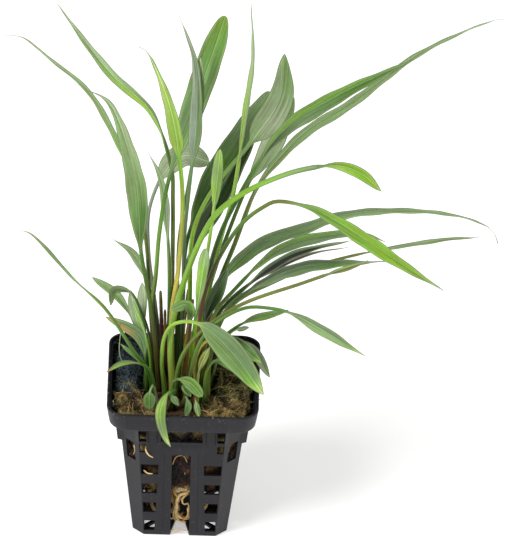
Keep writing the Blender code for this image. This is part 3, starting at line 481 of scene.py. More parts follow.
def fibrousWool():
    # Mineral wool, spun and pressed: matt, fibres far finer than a pixel, drawn here as 0.3 mm streaks and as pits
    # darkened with painted shade
    material, tree, shader = newMaterial("dampRockWool", {"IOR": 1.4, "Specular IOR Level": 0.35})
    place = addNode(tree, "ShaderNodeTexCoord").outputs["Object"]
    tint = addNode(tree, "ShaderNodeAttribute", {"attribute_name": "woolTint"}).outputs["Color"]
    warp = addNode(tree, "ShaderNodeMapping", {"Scale": (1.0, 0.45, 1.3), "Rotation": (0.3, 0.5, 0.8)}, {"Vector": place})
    fibres = addNode(tree, "ShaderNodeTexNoise", {"Scale": 2300.0, "Detail": 4.0, "Roughness": 0.65, "Distortion": 1.2},
                     {"Vector": warp.outputs[0]})
    pits = addNode(tree, "ShaderNodeTexVoronoi", {"Scale": 620.0, "Randomness": 1.0}, {"Vector": place})    # 1.6 mm
    bright = addNode(tree, "ShaderNodeMapRange", {"From Min": 0.3, "From Max": 0.72, "To Min": 0.30, "To Max": 1.85},
                     {"Value": fibres.outputs[0]})
    # Darker at the pits' middles: painted shade, with no dent in the surface
    hollow = addNode(tree, "ShaderNodeMapRange", {"From Min": 0.1, "From Max": 0.7, "To Min": 0.75, "To Max": 1.15},
                     {"Value": pits.outputs[0]})
    value = addNode(tree, "ShaderNodeMath", {"operation": 'MULTIPLY'}, {0: bright.outputs[0], 1: hollow.outputs[0]})
    tone = addNode(tree, "ShaderNodeHueSaturation", {"Saturation": 0.95}, {"Color": tint, "Value": value.outputs[0]})
    rough = addNode(tree, "ShaderNodeMapRange", {"To Min": 0.6, "To Max": 0.95}, {"Value": fibres.outputs[0]})
    bump = addNode(tree, "ShaderNodeBump", {"Strength": 0.9, "Distance": 0.0004}, {"Height": fibres.outputs[0]})
    tree.links.new(tone.outputs[0], shader.inputs["Base Color"])
    tree.links.new(rough.outputs[0], shader.inputs["Roughness"])
    tree.links.new(bump.outputs[0], shader.inputs["Normal"])
    return material


def woolStrands(random):
    # Short bent strands on the lobes and the block's sides: three-sided, thinning from foot to tip
    count = rockWool["strands"]
    side = int(count * 0.22)
    angle = random.uniform(0, 2 * np.pi, count)
    share = np.sqrt(random.uniform(0.02, 0.97, count))
    radius = woolRadius(angle, rockWool["spread"] - 0.3, 5.0) * share
    foot = np.stack([radius * np.cos(angle), radius * np.sin(angle), 0 * angle], axis=1)
    foot[:, 2] = woolTop(foot[:, 0], foot[:, 1]) - 0.15
    high = random.uniform(rockWool["foot"] + 1, 49, side)
    wall = woolRadius(angle[:side], 1.0, 3.9) * (bodyOutline(high, 1.2)[0] - rockWool["gap"] - 0.5)
    foot[:side] = np.stack([wall * np.cos(angle[:side]), wall * np.sin(angle[:side]), high], axis=1)
    heading = random.normal(size=(count, 3)) * (1.0, 1.0, 0.45) + (0, 0, 0.35)
    outward = np.stack([np.cos(angle), np.sin(angle), 0 * angle], axis=1)
    heading[:side] = heading[:side] * (0.6, 0.6, 1.0)
    heading[:side] -= (heading[:side] * outward[:side]).sum(1, keepdims=True) * outward[:side]
    heading /= np.linalg.norm(heading, axis=1, keepdims=True)
    length = random.uniform(1.2, 4.2, count) * np.where(np.arange(count) < side, 1.1, 1.0)
    sag = random.normal(size=(count, 3)) * 0.35 - (0, 0, 0.28)
    sag[:side] -= (sag[:side] * outward[:side]).sum(1, keepdims=True) * outward[:side]
    t = np.array([0.0, 0.36, 0.7, 1.0])[None, :, None]
    middle = foot[:, None, :] + length[:, None, None] * (t * heading[:, None, :] + t * t * sag[:, None, :])
    first = np.cross(heading, random.normal(size=(count, 3)))
    first /= np.linalg.norm(first, axis=1, keepdims=True)
    second = np.cross(heading, first)
    thick = (random.uniform(0.07, 0.19, count)[:, None] * np.array([1.0, 0.9, 0.65, 0.25])[None, :])[..., None, None]
    turn = np.array([0, 2, 4]) * np.pi / 3
    ring = (np.cos(turn)[None, None, :, None] * first[:, None, None, :]
            + np.sin(turn)[None, None, :, None] * second[:, None, None, :])
    points = middle[:, :, None, :] + ring * thick
    base = (np.arange(count) * 12)[:, None]
    squares = np.array([[r * 3 + s, r * 3 + (s + 1) % 3, r * 3 + 3 + (s + 1) % 3, r * 3 + 3 + s]
                        for r in range(3) for s in range(3)])
    ends = np.array([[2, 1, 0], [9, 10, 11]])
    faces = (base[:, :, None] + squares[None]).reshape(-1, 4).tolist() + (base[:, :, None] + ends[None]).reshape(-1, 3).tolist()
    tint = woolTint(foot) * random.uniform(0.25, 2.6, (count, 1))
    return points.reshape(-1, 3), faces, np.clip(np.repeat(tint, 12, axis=0), 0, 1)


def buildWool():
    # The block from its rows and two poles, then the fibres on it
    material = fibrousWool()
    points = woolSurface()
    rows, around = points.shape[:2]
    poles = np.array([[0.0, 0.0, points[0, 0, 2]], [0.0, 0.0, points[-1, :, 2].mean()]])
    flat = np.vstack([points.reshape(-1, 3), poles])
    makePiece("rock_wool_block", flat, tubeFaces(rows, around), material, ["rock_wool_plug"],
              {"woolTint": woolTint(flat)}, sharp=180)
    strands, faces, tint = woolStrands(np.random.default_rng(5))
    makePiece("rock_wool_fibres", strands, faces, material, [], {"woolTint": tint}, sharp=180)
    print("stage 4: rock wool,", len(faces), "faces of fibre")


buildWool()

# The crown that the leaves grow from, and the looks of each kind of leaf
crown = {"centre": (-2.0, -0.5, 47.6), "radii": (13.0, 11.0, 3.6), "grown": 0.5}
leafFinishes = {
    "leaf_green": dict(name="waxyGreenBlade", rough=(0.34, 0.56), coat=0.06, streak=0.34, spots=0.0),
    "leaf_dark": dict(name="shadedGreenBlade", rough=(0.30, 0.50), coat=0.06, streak=0.34, spots=0.0),
    "leaf_grey": dict(name="bloomedGreyBlade", rough=(0.42, 0.66), coat=0.03, streak=0.32, spots=0.08),
    "leaf_lime": dict(name="youngLimeBlade", rough=(0.32, 0.52), coat=0.06, streak=0.28, spots=0.0),
    "leaf_pale": dict(name="paleUndersideBlade", rough=(0.48, 0.70), coat=0.02, streak=0.28, spots=0.12),
    "leaf_brown": dict(name="witheredBrownBlade", rough=(0.55, 0.80), coat=0.00, streak=0.32, spots=0.6),
}


tipShapes = {"round": (2.6, 0.5), "plain": (1.9, 0.8), "long": (1.3, 1.05)}      # how the blade narrows to its tip


def crownTop(x, y):
    # The upper half of a flattened ball
    cx, cy, cz = crown["centre"]
    rx, ry, rz = crown["radii"]
    return cz + rz * np.sqrt(max(1 - ((x - cx) / rx) ** 2 - ((y - cy) / ry) ** 2, 0.0))


def leafSkin(finish):
    # A living leaf under its wax: parallel veins 0.6 mm apart, a fine rib, a pale band along the margin as painted
    # light, a dark line on the margin as painted shade, and uneven green between them
    material, tree, shader = newMaterial(finish["name"], {"IOR": 1.42, "Coat Weight": finish["coat"],
                                                          "Coat Roughness": 0.28, "Specular IOR Level": 0.32})
    tint = addNode(tree, "ShaderNodeAttribute", {"attribute_name": "leafTint"}).outputs["Color"]
    place = addNode(tree, "ShaderNodeAttribute", {"attribute_name": "leafPlace"}).outputs["Vector"]
    form = addNode(tree, "ShaderNodeAttribute", {"attribute_name": "leafForm"}).outputs["Vector"]
    across, along, edge = addNode(tree, "ShaderNodeSeparateXYZ", {}, {0: place}).outputs
    side, flat, seed = addNode(tree, "ShaderNodeSeparateXYZ", {}, {0: form}).outputs
    veinWhere = addNode(tree, "ShaderNodeCombineXYZ", {}, {0: across, 1: along, 2: seed})
    veinScale = addNode(tree, "ShaderNodeMapping", {"Scale": (1.7, 0.035, 7.0)}, {"Vector": veinWhere.outputs[0]})
    veins = addNode(tree, "ShaderNodeTexNoise", {"Scale": 1.0, "Detail": 2.5, "Roughness": 0.6},
                    {"Vector": veinScale.outputs[0]})
    broadScale = addNode(tree, "ShaderNodeMapping", {"Scale": (0.42, 0.075, 5.0)}, {"Vector": veinWhere.outputs[0]})
    broad = addNode(tree, "ShaderNodeTexNoise", {"Scale": 1.0, "Detail": 2.0}, {"Vector": broadScale.outputs[0]})
    body = addNode(tree, "ShaderNodeTexCoord").outputs["Object"]
    mottle = addNode(tree, "ShaderNodeTexNoise", {"Scale": 700.0, "Detail": 4.0, "Roughness": 0.65}, {"Vector": body})
    veinShade = addNode(tree, "ShaderNodeMapRange", {"From Min": 0.3, "From Max": 0.7, "To Min": 1 - finish["streak"],
                                                     "To Max": 1 + finish["streak"] * 0.9}, {"Value": veins.outputs[0]})
    broadShade = addNode(tree, "ShaderNodeMapRange", {"From Min": 0.3, "From Max": 0.7, "To Min": 0.84, "To Max": 1.16},
                         {"Value": broad.outputs[0]})
    mottleShade = addNode(tree, "ShaderNodeMapRange", {"From Min": 0.3, "From Max": 0.7, "To Min": 0.93, "To Max": 1.07},
                          {"Value": mottle.outputs[0]})
    shade = addNode(tree, "ShaderNodeMath", {"operation": 'MULTIPLY'}, {0: veinShade.outputs[0], 1: broadShade.outputs[0]})
    shade = addNode(tree, "ShaderNodeMath", {"operation": 'MULTIPLY'}, {0: shade.outputs[0], 1: mottleShade.outputs[0]})
    hue = addNode(tree, "ShaderNodeMapRange", {"From Min": 0.3, "From Max": 0.7, "To Min": 0.488, "To Max": 0.512},
                  {"Value": broad.outputs[0]})
    skin = addNode(tree, "ShaderNodeHueSaturation", {}, {"Color": tint, "Value": shade.outputs[0], "Hue": hue.outputs[0]})
    behind = addNode(tree, "ShaderNodeMapRange", {"To Min": 0.38, "To Max": 0.0}, {"Value": side})
    skin = addNode(tree, "ShaderNodeMix", {"data_type": 'RGBA', 7: (*linearColour(palette["sage"]), 1)},
                   {0: behind.outputs[0], 6: skin.outputs[0]})
    fromRib = addNode(tree, "ShaderNodeMath", {"operation": 'ABSOLUTE'}, {0: across})
    half = addNode(tree, "ShaderNodeMath", {"operation": 'ADD'}, {0: fromRib.outputs[0], 1: edge})
    outward = addNode(tree, "ShaderNodeMath", {"operation": 'DIVIDE'}, {0: fromRib.outputs[0], 1: half.outputs[0]})
    thirds = addNode(tree, "ShaderNodeMath", {"operation": 'MULTIPLY', 1: 3.0}, {0: outward.outputs[0]})
    toVein = addNode(tree, "ShaderNodeMath", {"operation": 'PINGPONG', 1: 0.5}, {0: thirds.outputs[0]})
    veinLine = addNode(tree, "ShaderNodeMapRange", {"From Min": 0.03, "From Max": 0.13, "To Min": 0.30, "To Max": 0.0},
                       {"Value": toVein.outputs[0]})
    veinLine = addNode(tree, "ShaderNodeMath", {"operation": 'MULTIPLY'}, {0: veinLine.outputs[0], 1: flat})
    deeper = addNode(tree, "ShaderNodeHueSaturation", {"Value": 0.5}, {"Color": skin.outputs[2]})
    skin = addNode(tree, "ShaderNodeMix", {"data_type": 'RGBA'},
                   {0: veinLine.outputs[0], 6: skin.outputs[2], 7: deeper.outputs[0]})
    # A pale band along the margin: painted light
    paleRimLight = addNode(tree, "ShaderNodeMapRange", {"From Min": 0.5, "From Max": 0.85, "To Min": 0.30, "To Max": 0.0},
                       {"Value": edge})
    paleRimLight = addNode(tree, "ShaderNodeMath", {"operation": 'MULTIPLY'}, {0: paleRimLight.outputs[0], 1: flat})
    skin = addNode(tree, "ShaderNodeMix", {"data_type": 'RGBA', 7: (*linearColour("#a9bd84"), 1)},
                   {0: paleRimLight.outputs[0], 6: skin.outputs[2]})
    # A dark line on the very margin, over the pale band: painted shade
    marginShade = addNode(tree, "ShaderNodeMapRange", {"From Min": 0.22, "From Max": 0.46, "To Min": 0.72, "To Max": 0.0},
                      {"Value": edge})
    marginShade = addNode(tree, "ShaderNodeMath", {"operation": 'MULTIPLY'}, {0: marginShade.outputs[0], 1: flat})
    deeper = addNode(tree, "ShaderNodeHueSaturation", {"Value": 0.42}, {"Color": skin.outputs[2]})
    skin = addNode(tree, "ShaderNodeMix", {"data_type": 'RGBA'},
                   {0: marginShade.outputs[0], 6: skin.outputs[2], 7: deeper.outputs[0]})
    ribLine = addNode(tree, "ShaderNodeMapRange", {"From Min": 0.34, "From Max": 0.62, "To Min": 0.5, "To Max": 0.0},
                      {"Value": fromRib.outputs[0]})
    ribLine = addNode(tree, "ShaderNodeMath", {"operation": 'MULTIPLY'}, {0: ribLine.outputs[0], 1: flat})
    deeper = addNode(tree, "ShaderNodeHueSaturation", {"Value": 0.55}, {"Color": skin.outputs[2]})
    skin = addNode(tree, "ShaderNodeMix", {"data_type": 'RGBA'},
                   {0: ribLine.outputs[0], 6: skin.outputs[2], 7: deeper.outputs[0]})
    ribCore = addNode(tree, "ShaderNodeMapRange", {"From Min": 0.12, "From Max": 0.30, "To Min": 0.6, "To Max": 0.0},
                      {"Value": fromRib.outputs[0]})
    ribCore = addNode(tree, "ShaderNodeMath", {"operation": 'MULTIPLY'}, {0: ribCore.outputs[0], 1: flat})
    paler = addNode(tree, "ShaderNodeHueSaturation", {"Value": 2.3, "Saturation": 0.85}, {"Color": skin.outputs[2]})
    skin = addNode(tree, "ShaderNodeMix", {"data_type": 'RGBA'},
                   {0: ribCore.outputs[0], 6: skin.outputs[2], 7: paler.outputs[0]})
    if finish["spots"] > 0:
        marks = addNode(tree, "ShaderNodeTexNoise", {"Scale": 240.0, "Detail": 3.0}, {"Vector": body})     # 4 mm
        brown = addNode(tree, "ShaderNodeMapRange", {"From Min": 0.60, "From Max": 0.72, "To Max": finish["spots"]},
                        {"Value": marks.outputs[0]})
        skin = addNode(tree, "ShaderNodeMix", {"data_type": 'RGBA', 7: (*linearColour("#7d6234"), 1)},
                       {0: brown.outputs[0], 6: skin.outputs[2]})
    rough = addNode(tree, "ShaderNodeMapRange", {"From Min": 0.3, "From Max": 0.7, "To Min": finish["rough"][0],
                                                 "To Max": finish["rough"][1]}, {"Value": veins.outputs[0]})
    bump = addNode(tree, "ShaderNodeBump", {"Strength": 0.6, "Distance": 0.00014}, {"Height": veins.outputs[0]})
    fine = addNode(tree, "ShaderNodeBump", {"Strength": 0.25, "Distance": 0.00008},
                   {"Height": mottle.outputs[0], "Normal": bump.outputs[0]})
    tree.links.new(skin.outputs[2], shader.inputs["Base Color"])
    tree.links.new(rough.outputs[0], shader.inputs["Roughness"])
    tree.links.new(fine.outputs[0], shader.inputs["Normal"])
    return material


leafMaterials = {slot: leafSkin(finish) for slot, finish in leafFinishes.items()}
stations = np.array([0, 0.06, 0.15, 0.28, 0.43, 0.59, 0.74, 0.87, 0.96, 1.0])
stations = np.concatenate([-stations[:0:-1], stations])
aroundU = np.concatenate([stations, stations[-2:0:-1]])
aroundSide = np.concatenate([np.ones(len(stations)), -np.ones(len(stations) - 2)])


def bladeWidth(leaf, share):
    # The width is a sine up to its widest place, raised to a power that fills out or slims the foot, and from there
    # one less a power of the way on to the tip
    widest = leaf["widest"]
    rising = np.sin(np.pi / 2 * np.clip(share / widest, 0, 1)) ** leaf.get("base", 1.05)
    bend, narrow = tipShapes[leaf.get("ends", "plain")]
    falling = (1 - np.clip((share - widest) / (1 - widest), 0, 1) ** bend) ** narrow
    return leaf["width"] * np.where(share < widest, rising, falling)


def buildLeaf(name, leaf, seed):
    # A section carried along the route: a round stalk that opens into a folded blade, thick at its rib and thin at
    # its edges, whose margins wave a little
    seat = leaf["route"][0]
    foot = (*seat, crownTop(*seat) + 0.35 + leaf["stalk"] / 3)
    curve, reach = smoothRoute([foot] + leaf["route"][1:])
    bladeStart = reach[-1] - leaf["blade"]
    toTip = 1 - (1 - np.linspace(0, 1, max(16, int(leaf["blade"] / 1.05)))) ** 1.3
    lengths = np.concatenate([np.linspace(0, bladeStart, max(6, int(bladeStart / 2.3)), endpoint=False),
                              bladeStart + leaf["blade"] * toTip])
    place, heading = alongRoute(curve, reach, lengths)
    share = np.clip((lengths - bladeStart) / leaf["blade"], 0, 1)
    width = bladeWidth(leaf, share)
    width = np.maximum(np.maximum(width, leaf["stalk"] * (1 - share) * 0.9), 0.2)
    turn = np.radians(np.interp(share, np.linspace(0, 1, len(leaf["turn"])), leaf["turn"]))[:, None]
    level = np.cross(heading, toCamera)
    level /= np.linalg.norm(level, axis=1, keepdims=True)
    face = np.cross(level, heading)
    across = level * np.cos(turn) + face * np.sin(turn)
    up = face * np.cos(turn) - level * np.sin(turn)
    flat = smoothStep(share / 0.16)[:, None]
    stalk = (leaf["stalk"] / 2 * (1 - 0.25 * lengths / reach[-1]))[:, None]
    stalk = stalk * (1 + 0.55 * np.exp(-lengths / 5.0))[:, None]            # the sheath that clasps the crown
    u, over = aroundU[None, :], aroundSide[None, :]
    half = width[:, None] / 2
    x = u * (stalk + (half - stalk) * flat)
    lift = half * np.tan(np.radians(leaf.get("fold", 15)))
    fold = lift * ((np.sqrt(u * u + 0.02) - 0.1414) / 0.8685 - 0.5 - 0.16 * u ** 4)
    thick = (0.12 + 0.13 * (1 - u * u)) * np.sqrt(1 - u ** 6) * np.clip(half / 1.2, 0.25, 1)
    rib = np.exp(-(x / 0.36) ** 2)
    ribHeight = np.where(over > 0, -0.10, 0.30) * (1 - 0.7 * share[:, None]) * np.clip(half / 1.5, 0, 1)
    wave = leaf.get("wave", 0.025) * width.max() * u * u * np.sin(
        2 * np.pi * lengths[:, None] / leaf.get("waveLength", 13.0) + np.where(u > 0, 1.9, 0.0) + seed * 2.1)
    groove = np.where(over > 0, -0.22 * np.exp(-(u / 0.4) ** 2), 0.0) * stalk
    stalkY = over * np.sqrt(1 - u * u) * stalk + groove
    y = stalkY * (1 - flat) + (fold + over * (thick + ribHeight * rib) + wave) * flat
    points = place[:, None, :] + across[:, None, :] * x[..., None] + up[:, None, :] * y[..., None]
    poles = np.stack([place[0] - heading[0] * 0.8, place[-1] + heading[-1] * 0.05])
    rings, around = points.shape[:2]
    # Colours: one ramp for each half of the blade, one for the stalk, and the tip's own colour over them. The halves'
    # ramps paint light and shade over the leaf's own greens: one half of the fold lighter than the other, near black
    # where a half lies in shadow, pale grey-green where the blade shows sheen
    right = smoothStep((u + 0.08) / 0.16)[..., None]
    blade = (rampColour(leaf["left"], share)[:, None, :] * (1 - right) + rampColour(leaf["right"], share)[:, None, :] * right)
    if "tip" in leaf:
        atTip = smoothStep((share - 0.80) / 0.17)[:, None, None]
        blade = blade * (1 - atTip) + linearColour(palette[leaf["tip"]]) * atTip
    stem = rampColour(leaf["petiole"], np.clip(lengths / bladeStart, 0, 1))[:, None, :]
    onBlade = smoothStep(share / 0.14)[:, None, None]
    tint = blade * onBlade + stem * (1 - onBlade)
    edge = (1 - np.abs(u)) * (stalk + (half - stalk) * flat)
    vectors = {
        "leafPlace": np.stack([x, lengths[:, None] + 0 * x, edge], axis=-1),
        "leafForm": np.stack([over * np.minimum(1, 8 * (1 - np.abs(u))) * 0.5 + 0.5 + 0 * x, flat + 0 * x,
                              np.full(x.shape, seed * 0.37)], axis=-1),
    }
    withPoles = lambda grid: np.vstack([grid.reshape(-1, 3), grid[0].mean(0), grid[-1].mean(0)])
    makePiece(name.replace("leaf_", "") + "_leaf", np.vstack([points.reshape(-1, 3), poles]), tubeFaces(rings, around),
              leafMaterials[leaf["slot"]], [name], {"leafTint": withPoles(tint)},
              {key: withPoles(grid) for key, grid in vectors.items()}, sharp=75)


# Each leaf's left and right colours run from blade foot to tip and paint light and shade over its greens: the lit and
# the shaded half of the fold, near black for shadow, pale grey-green for sheen
leftLeaves = {
    "leaf_wisp_far_left": dict(route=[(-10, 7.5), (-13, 13, 81), (-15, 18, 104), (-20, 22, 126),
        (-36, 25, 161), (-51, 26, 175), (-61, 27, 183), (-68, 27, 184)], ends="long", blade=82, width=4.4,
        widest=0.35, turn=(58, 62), stalk=1.5, left="grass sage sage", right="moss sage mist",
        petiole="moss olive", slot="leaf_grey"),
    "leaf_high_left": dict(route=[(-4.5, 7), (-5, 11, 86), (-5.6, 16, 123), (-6.4, 19, 134),
        (-14, 27, 152.5), (-28, 34, 163), (-37, 39, 172), (-49, 44, 187)], ends="long", blade=68,
        width=4.8, widest=0.5, turn=(50, 44, 40), stalk=1.7, left="spring lime sage sage",
        right="night sage mist mist", petiole="tan olive moss", slot="leaf_lime"),
    "leaf_left_broad": dict(route=[(-8.8, -0.5), (-11.6, -4, 84), (-14.4, -8, 103), (-16.5, -11, 118),
        (-19.4, -17, 154), (-28, -22, 186), (-32, -23, 191), (-37, -24, 194)], ends="long", blade=86,
        width=8, widest=0.38, turn=(10, 24, 30), stalk=1.6, left="moss leaf sage sage sage",
        right="moss moss sage mist mist", petiole="bark moss", slot="leaf_grey"),
    "leaf_mid_left": dict(route=[(-6.5, 3.8), (-6, 6.5, 86), (-7, 12, 108), (-10, 18, 130),
        (-15, 22, 139)], ends="long", blade=36, width=4.4, widest=0.45, turn=(45, 45), stalk=1.4,
        left="sage sage sage silver", right="sage silver sage sage", petiole="deep moss leaf",
        slot="leaf_grey"),
    "leaf_far_back": dict(route=[(-7, 7.6), (-11, 18, 76), (-14, 30, 92), (-14, 38, 105), (-8, 46, 117),
        (-2, 50, 120), (7, 54, 115)], ends="round", blade=26, width=9, widest=0.45, turn=(25, 15),
        stalk=1.5, left="mist frost mist", right="mist frost mist", petiole="bark silver",
        slot="leaf_pale"),
    "leaf_wisp_left": dict(route=[(-10.5, -5), (-13, -6.5, 64), (-18, -10, 74), (-29, -17, 97),
        (-40, -22, 112), (-56, -28, 135), (-60, -29, 137)], ends="long", blade=48, width=2, widest=0.7,
        turn=(50, 50), stalk=1.4, left="moss grass olive", right="grass moss olive",
        petiole="deep moss grass", tip="tan", slot="leaf_green"),
}
middleLeaves = {
    "leaf_lime_upright": dict(route=[(-3.5, -1.5), (-5, -3, 84), (-3, -5, 106), (-2, -7, 134),
        (-3, -8, 151), (-8, -10, 181), (-16, -12, 203), (-19, -13, 206)], ends="long", blade=55,
        width=5.8, widest=0.2, turn=(25, 30, 60), stalk=1.8, left="lime lime lemon lime",
        right="spring lime lime sage", petiole="yellow straw spring", slot="leaf_lime"),
    "leaf_grey_vertical": dict(route=[(-1.5, 2), (-1, 3, 88), (-1, 4, 116), (0, 5, 132), (2, 8, 162),
        (1, 12, 185), (-5, 16, 201)], ends="long", blade=62, width=5.4, widest=0.3, turn=(20, 26, 50),
        stalk=1.5, left="silver silver silver", right="slate slate silver", petiole="forest slate",
        slot="leaf_grey"),
    "leaf_top_broad": dict(route=[(-6, -1), (-12, 1, 81), (-11, 3, 99), (-10, 5, 117), (-7, 9, 137),
        (3, 19, 168), (11.5, 28, 194)], ends="round", blade=66, width=9.6, widest=0.62, turn=(30, 20, 20),
        stalk=1.7, left="sage slate leaf grass", right="slate leaf leaf grass",
        petiole="rust bark grass moss", slot="leaf_green"),
    "leaf_narrow_mid": dict(route=[(-3, 4.2), (-3, 6, 86), (-3, 8, 111), (0, 9, 135.6), (3, 10.5, 161),
        (3, 12, 186)], ends="round", blade=38, width=3.6, widest=0.6, turn=(40, 25), stalk=1.3,
        left="sage mist sage", right="sage sage mist", petiole="forest moss", slot="leaf_pale"),
    "leaf_tall_thin": dict(route=[(0.4, 3.2), (7.6, 4.6, 88), (12, 5, 113.4), (16, 6, 132),
        (19.8, 10, 166), (21.8, 12, 186), (20.4, 14, 210)], ends="long", blade=68, width=4.4, widest=0.4,
        turn=(58, 60, 72), stalk=1.7, left="spring lime mist mist", right="spring sage sage mist",
        petiole="olive spring lime", slot="leaf_lime"),
    "leaf_dark_diagonal": dict(route=[(-1, 6.5), (-1, 10, 84), (0, 16, 106), (8, 24, 126), (15, 29, 137),
        (28, 38, 156)], ends="round", blade=60, width=9.6, widest=0.45, turn=(-25, -28, -30), stalk=1.6,
        left="moss deep moss slate sage", right="forest deep moss slate sage", petiole="forest deep",
        slot="leaf_dark"),
    "leaf_dark_lower": dict(route=[(-2, 8.5), (-1, 18, 83), (1, 26, 93), (6, 34, 101), (13, 42, 113),
        (26, 53, 137)], blade=60, width=8.6, widest=0.4, turn=(-30, -35), stalk=1.6,
        left="forest deep moss", right="night forest deep", petiole="forest deep", slot="leaf_dark"),
    "leaf_pale_wide": dict(route=[(1.9, 6.2), (1.4, 6.4, 85.8), (2, 10, 113), (6, 13, 124), (13, 16, 135),
        (20.7, 18, 145), (31.7, 23, 162), (33, 29, 178)], blade=38, width=10.6, widest=0.36, base=0.7,
        turn=(-25, -18, -25), stalk=1.8, left="sage mist mist sage", right="sage frost sage leaf",
        petiole="grass spring lime sage", slot="leaf_pale"),
    "leaf_pale_behind": dict(route=[(1.5, 8), (9, 18, 87), (15, 28, 103), (22, 38, 118), (29, 44, 129),
        (37, 52, 145)], blade=36, width=9, widest=0.5, turn=(-30, -30), stalk=1.6, left="mist frost mist",
        right="sage mist leaf", petiole="forest moss", slot="leaf_pale"),
    "leaf_short_bright": dict(route=[(-0.4, -0.6), (5, -3.2, 92.7), (9, -4.5, 130), (11, -6, 159)],
        ends="round", blade=28, width=4.8, widest=0.5, turn=(35, 30), stalk=1.5,
        left="lime lime sage lime", right="spring grass grass lime", petiole="grass spring lime",
        slot="leaf_lime"),
}
rightLeaves = {
    "leaf_long_right": dict(route=[(2, 0), (5, 0, 82), (10.5, 2, 113), (16.5, 4, 129), (32, 6, 158),
        (50, 7, 173), (81, 9, 191)], ends="long", blade=76, width=7.4, widest=0.42, turn=(-48, -36, -38),
        stalk=1.8, left="leaf grass grass leaf", right="forest slate moss moss",
        petiole="moss forest moss", slot="leaf_green"),
    "leaf_longest_right": dict(route=[(3.8, 2.8), (11, 7, 90.4), (17, 9, 109), (24, 14, 129),
        (29, 17, 136.5), (41, 22, 149), (57, 28, 158), (82, 34, 177), (109, 40, 188), (112, 40, 188)],
        ends="long", blade=122, width=6, widest=0.4, turn=(-44, -54, -60), stalk=1.8,
        left="slate sage sage sage", right="olive sage sage mist", petiole="bark rust moss olive",
        slot="leaf_grey"),
    "leaf_arch_bright": dict(route=[(-3.5, -5), (-5, -7, 78), (-2, -9, 99), (9, -13, 134), (18, -15, 145),
        (29, -18, 154), (41, -21, 161), (54, -25, 165.5), (62, -28, 164), (69, -31, 159)], blade=28,
        width=5, widest=0.55, turn=(-70, -35, -20), stalk=2.4, left="moss spring spring lime",
        right="sage lime spring spring", petiole="yellow lime spring spring spring sage",
        slot="leaf_lime"),
    "leaf_arch_large": dict(route=[(2.5, -3), (7, -5, 98), (15, -9, 122), (21, -13, 134), (27, -17, 142),
        (31, -19.5, 146), (37, -23, 148), (47, -29, 148.5), (78, -44, 136), (92, -50, 130)], ends="long",
        blade=68, width=7, widest=0.55, turn=(-45, -40, -35), stalk=1.7, left="leaf spring spring spring",
        right="grass grass spring olive", petiole="bark rust bark moss olive", slot="leaf_lime"),
    "leaf_grey_right": dict(route=[(4, 6), (8, 8, 85), (21, 12, 102.5), (32, 14, 109.5), (40, 15, 112),
        (56, 18, 117), (76, 22, 117), (94, 25, 114), (106, 27, 109), (110, 28, 105), (112, 28, 100)],
        ends="long", blade=124, width=7, widest=0.25, turn=(-30, -45, -55, -60, -75), stalk=1.8,
        left="leaf slate slate sage sage", right="grass slate sage sage mist", petiole="moss olive leaf",
        slot="leaf_grey"),
    "leaf_green_right": dict(route=[(5, -2), (10, -3, 85), (17, -5, 98), (35, -9, 120), (62, -14, 130),
        (71, -16, 128)], ends="long", blade=62, width=6, widest=0.5, turn=(-50, -42), stalk=1.6,
        left="moss grass grass slate", right="lime slate slate sage", petiole="bark olive moss",
        slot="leaf_green"),
    "leaf_dark_right": dict(route=[(6, 3), (11, 3, 81), (18, 4, 90), (37, 7, 106), (60, 11, 111)],
        ends="long", blade=46, width=5.4, widest=0.4, turn=(-55, -55), stalk=1.5,
        left="deep deep moss silver", right="night night night slate", petiole="forest deep",
        slot="leaf_dark"),
    "leaf_thin_right": dict(route=[(8.2, 3.6), (12, 9, 78), (19, 13, 86), (42, 21, 97), (58, 26, 98)],
        ends="long", blade=40, width=3, widest=0.4, turn=(-62, -62), stalk=1.3, left="moss bark night",
        right="night night bark", petiole="bark forest", slot="leaf_dark"),
    "leaf_broad_right": dict(route=[(4.6, -4), (13, -8, 88), (19, -11, 99), (41, -19, 118),
        (71, -29, 128)], ends="long", blade=62, width=8, widest=0.45, turn=(-56, -54), stalk=1.6,
        left="night deep deep slate", right="sage slate moss sage", petiole="bark olive deep",
        slot="leaf_dark"),
    "leaf_far_right": dict(route=[(6.4, 5.8), (15.5, 14.5, 77), (32, 28, 81), (51, 36, 85), (91, 48, 88),
        (106, 52, 87)], ends="long", blade=48, width=3.8, widest=0.6, turn=(-66, -64), stalk=1.3,
        left="olive sage sage", right="sage sage olive", petiole="moss olive", slot="leaf_grey"),
    "leaf_olive_stalk": dict(route=[(-3.5, -7.2), (0, -11, 75), (17, -20, 100), (43, -30, 119),
        (65, -38, 134)], blade=20, width=3.6, widest=0.45, turn=(-58, -58), stalk=1.6,
        left="olive lime mist", right="moss olive olive", petiole="moss olive olive", slot="leaf_green"),
    "leaf_droop_right": dict(route=[(0.3, -8.6), (7, -18, 87), (21, -27, 105), (30, -31, 108),
        (38, -34, 108), (50, -39, 104), (65, -44, 97)], ends="long", blade=35, width=6, widest=0.5,
        turn=(-55, -40), stalk=1.5, left="leaf slate slate sage", right="slate sage sage grass",
        petiole="olive moss moss", tip="lime", slot="leaf_green"),
}
